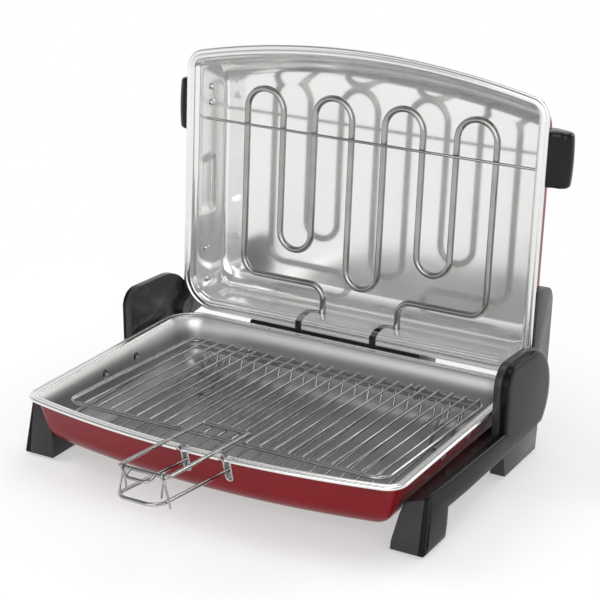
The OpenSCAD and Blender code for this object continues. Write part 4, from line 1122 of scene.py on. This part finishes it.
# Camera, from the fit to the photograph: degrees, millimetres and the photograph's pixels
CAM_LENS_PX, CAM_AZ, CAM_EL, CAM_DIST, CAM_ROLL = 1790.0, 28.3, 21.8, 1915.0, 0.80
CAM_SHIFT_PX = (46.2, 42.5)
PHOTO_PX, SENSOR = 600.0, 36.0


def build_camera():
    az, el, roll = math.radians(CAM_AZ), math.radians(CAM_EL), math.radians(CAM_ROLL)
    back = Vector((math.sin(az) * math.cos(el), -math.cos(az) * math.cos(el), math.sin(el)))
    level = (-back).cross(Vector((0, 0, 1))).normalized()
    upright = level.cross(-back)
    right = level * math.cos(roll) + upright * math.sin(roll)
    up = upright * math.cos(roll) - level * math.sin(roll)
    data = bpy.data.cameras.new("camera")
    data.sensor_width = SENSOR
    data.lens = CAM_LENS_PX / PHOTO_PX * SENSOR
    data.shift_x = -CAM_SHIFT_PX[0] / PHOTO_PX
    data.shift_y = CAM_SHIFT_PX[1] / PHOTO_PX
    data.clip_start, data.clip_end = 0.05, 60
    cam = to_scene("camera", data)
    m = Matrix((right, up, back)).transposed().to_4x4()
    m.translation = place((0, 0, RIM_H)) + back * (CAM_DIST * MM)
    cam.matrix_world = m
    bpy.context.scene.camera = cam


# Studio, in metres and watts
def build_lamp(name, spot, aim, size, power, mirrored=True):
    """An area lamp. One that isn't mirrored leaves no bright patch in the metal."""
    data = bpy.data.lights.new(name, "AREA")
    data.shape = "RECTANGLE"
    data.size, data.size_y = size
    data.energy = power
    o = to_scene(name, data)
    o.location = spot
    o.visible_glossy = mirrored
    o.rotation_euler = (Vector(aim) - Vector(spot)).to_track_quat("-Z", "Y").to_euler()


def build_lamps():
    build_lamp("key", (-2.1, -0.3, 2.0), aim=(0, 0, 0.15), size=(1.4, 1.4), power=32, mirrored=False)
    build_lamp("front", (0.7, -2.4, 1.25), aim=(0, 0, 0.12), size=(3.0, 2.0), power=32)
    build_lamp("top", (0.2, 0.5, 2.2), aim=(0, 0, 0.1), size=(2.0, 1.4), power=16)
    build_lamp("edge", (1.05, 1.75, 1.0), aim=(0.2, 0, 0.1), size=(1.0, 0.5), power=6)
    build_lamp("fill", (2.3, -0.7, 0.9), aim=(0, 0, 0.1), size=(1.4, 1.4), power=12, mirrored=False)


# Sky tones from straight below, 0, to straight above, 1: bright low down and behind, darker above the front
SKY_AHEAD = ((0.0, 0.60), (0.48, 0.80), (0.55, 0.80), (0.63, 0.60), (0.73, 0.38), (0.85, 0.20), (1.0, 0.20))
SKY_BEHIND = ((0.0, 0.60), (0.48, 0.95), (0.72, 0.95), (0.82, 0.70), (0.92, 0.35), (1.0, 0.20))
SKY_TURN = (-0.1, 0.5)


def build_sky():
    """A sky that lights the part and that the camera sees as white."""
    world = bpy.data.worlds.new("studio")
    bpy.context.scene.world = world
    world.use_nodes = True
    t = world.node_tree
    t.nodes.clear()
    split = add(t, "ShaderNodeSeparateXYZ")
    t.links.new(coords(t, "Generated"), split.inputs[0])
    height = map_range(t, split.outputs["Z"], -1, 1, 0, 1)
    mix = add(t, "ShaderNodeMix", data_type="RGBA")
    t.links.new(fade(t, split.outputs["Y"], *SKY_TURN), mix.inputs["Factor"])
    for socket, tones in ((MIX_A, SKY_AHEAD), (MIX_B, SKY_BEHIND)):
        t.links.new(ramp(t, height, [(at, (tone,) * 3) for at, tone in tones]), mix.inputs[socket])
    sky, white = add(t, "ShaderNodeBackground"), add(t, "ShaderNodeBackground")
    t.links.new(mix.outputs[MIX_COLOUR], sky.inputs["Color"])
    white.inputs["Color"].default_value = (1, 1, 1, 1)
    rays = add(t, "ShaderNodeLightPath")
    both = mix_shaders(t, rays.outputs["Is Camera Ray"], sky.outputs[0], white.outputs[0])
    t.links.new(both, add(t, "ShaderNodeOutputWorld").inputs["Surface"])


# Floor, in metres. Its glows: where each starts to grow, where it is full, and its least share
FLOOR_R, FLOOR_Z, FLOOR_SIDES = 6.0, -0.0005, 96
SEEN_GLOW, MIRRORED_GLOW = (0.3, 0.75, 0.45), (0.25, 0.65, 0.5)


def make_floor():
    """White that glows more with the distance, so that only a soft shadow shows near the part."""
    m, t, b = new_material("floor_white")
    b.inputs["Roughness"].default_value = 0.9
    b.inputs["Specular IOR Level"].default_value = 0.1
    colour = mottle(t, noise(t, scale=2, detail=2), (0.90, 0.90, 0.90), (0.93, 0.93, 0.93))
    t.links.new(colour, b.inputs["Base Color"])
    far = add(t, "ShaderNodeVectorMath", operation="LENGTH")
    t.links.new(coords(t), far.inputs[0])
    rays = add(t, "ShaderNodeLightPath").outputs
    seen = combine(t, "MULTIPLY", fade(t, far.outputs["Value"], *SEEN_GLOW), rays["Is Camera Ray"])
    glossy = combine(t, "MULTIPLY", fade(t, far.outputs["Value"], *MIRRORED_GLOW), rays["Is Glossy Ray"])
    mirrored = combine(t, "MAXIMUM", glossy, rays["Is Transmission Ray"])
    share = combine(t, "MAXIMUM", seen, mirrored)
    glow = add(t, "ShaderNodeEmission")
    both = mix_shaders(t, share, b.outputs[0], glow.outputs[0])
    t.links.new(both, t.nodes["Material Output"].inputs["Surface"])
    return m


def build_floor():
    bm = bmesh.new()
    bmesh.ops.create_circle(bm, cap_ends=True, segments=FLOOR_SIDES, radius=FLOOR_R)
    o = to_scene("floor", to_mesh("floor", bm))
    o.location = (0, 0, FLOOR_Z)
    o.data.materials.append(make_floor())


build_camera()
build_lamps()
build_sky()
build_floor()
bpy.context.scene.view_settings.view_transform = "Standard"
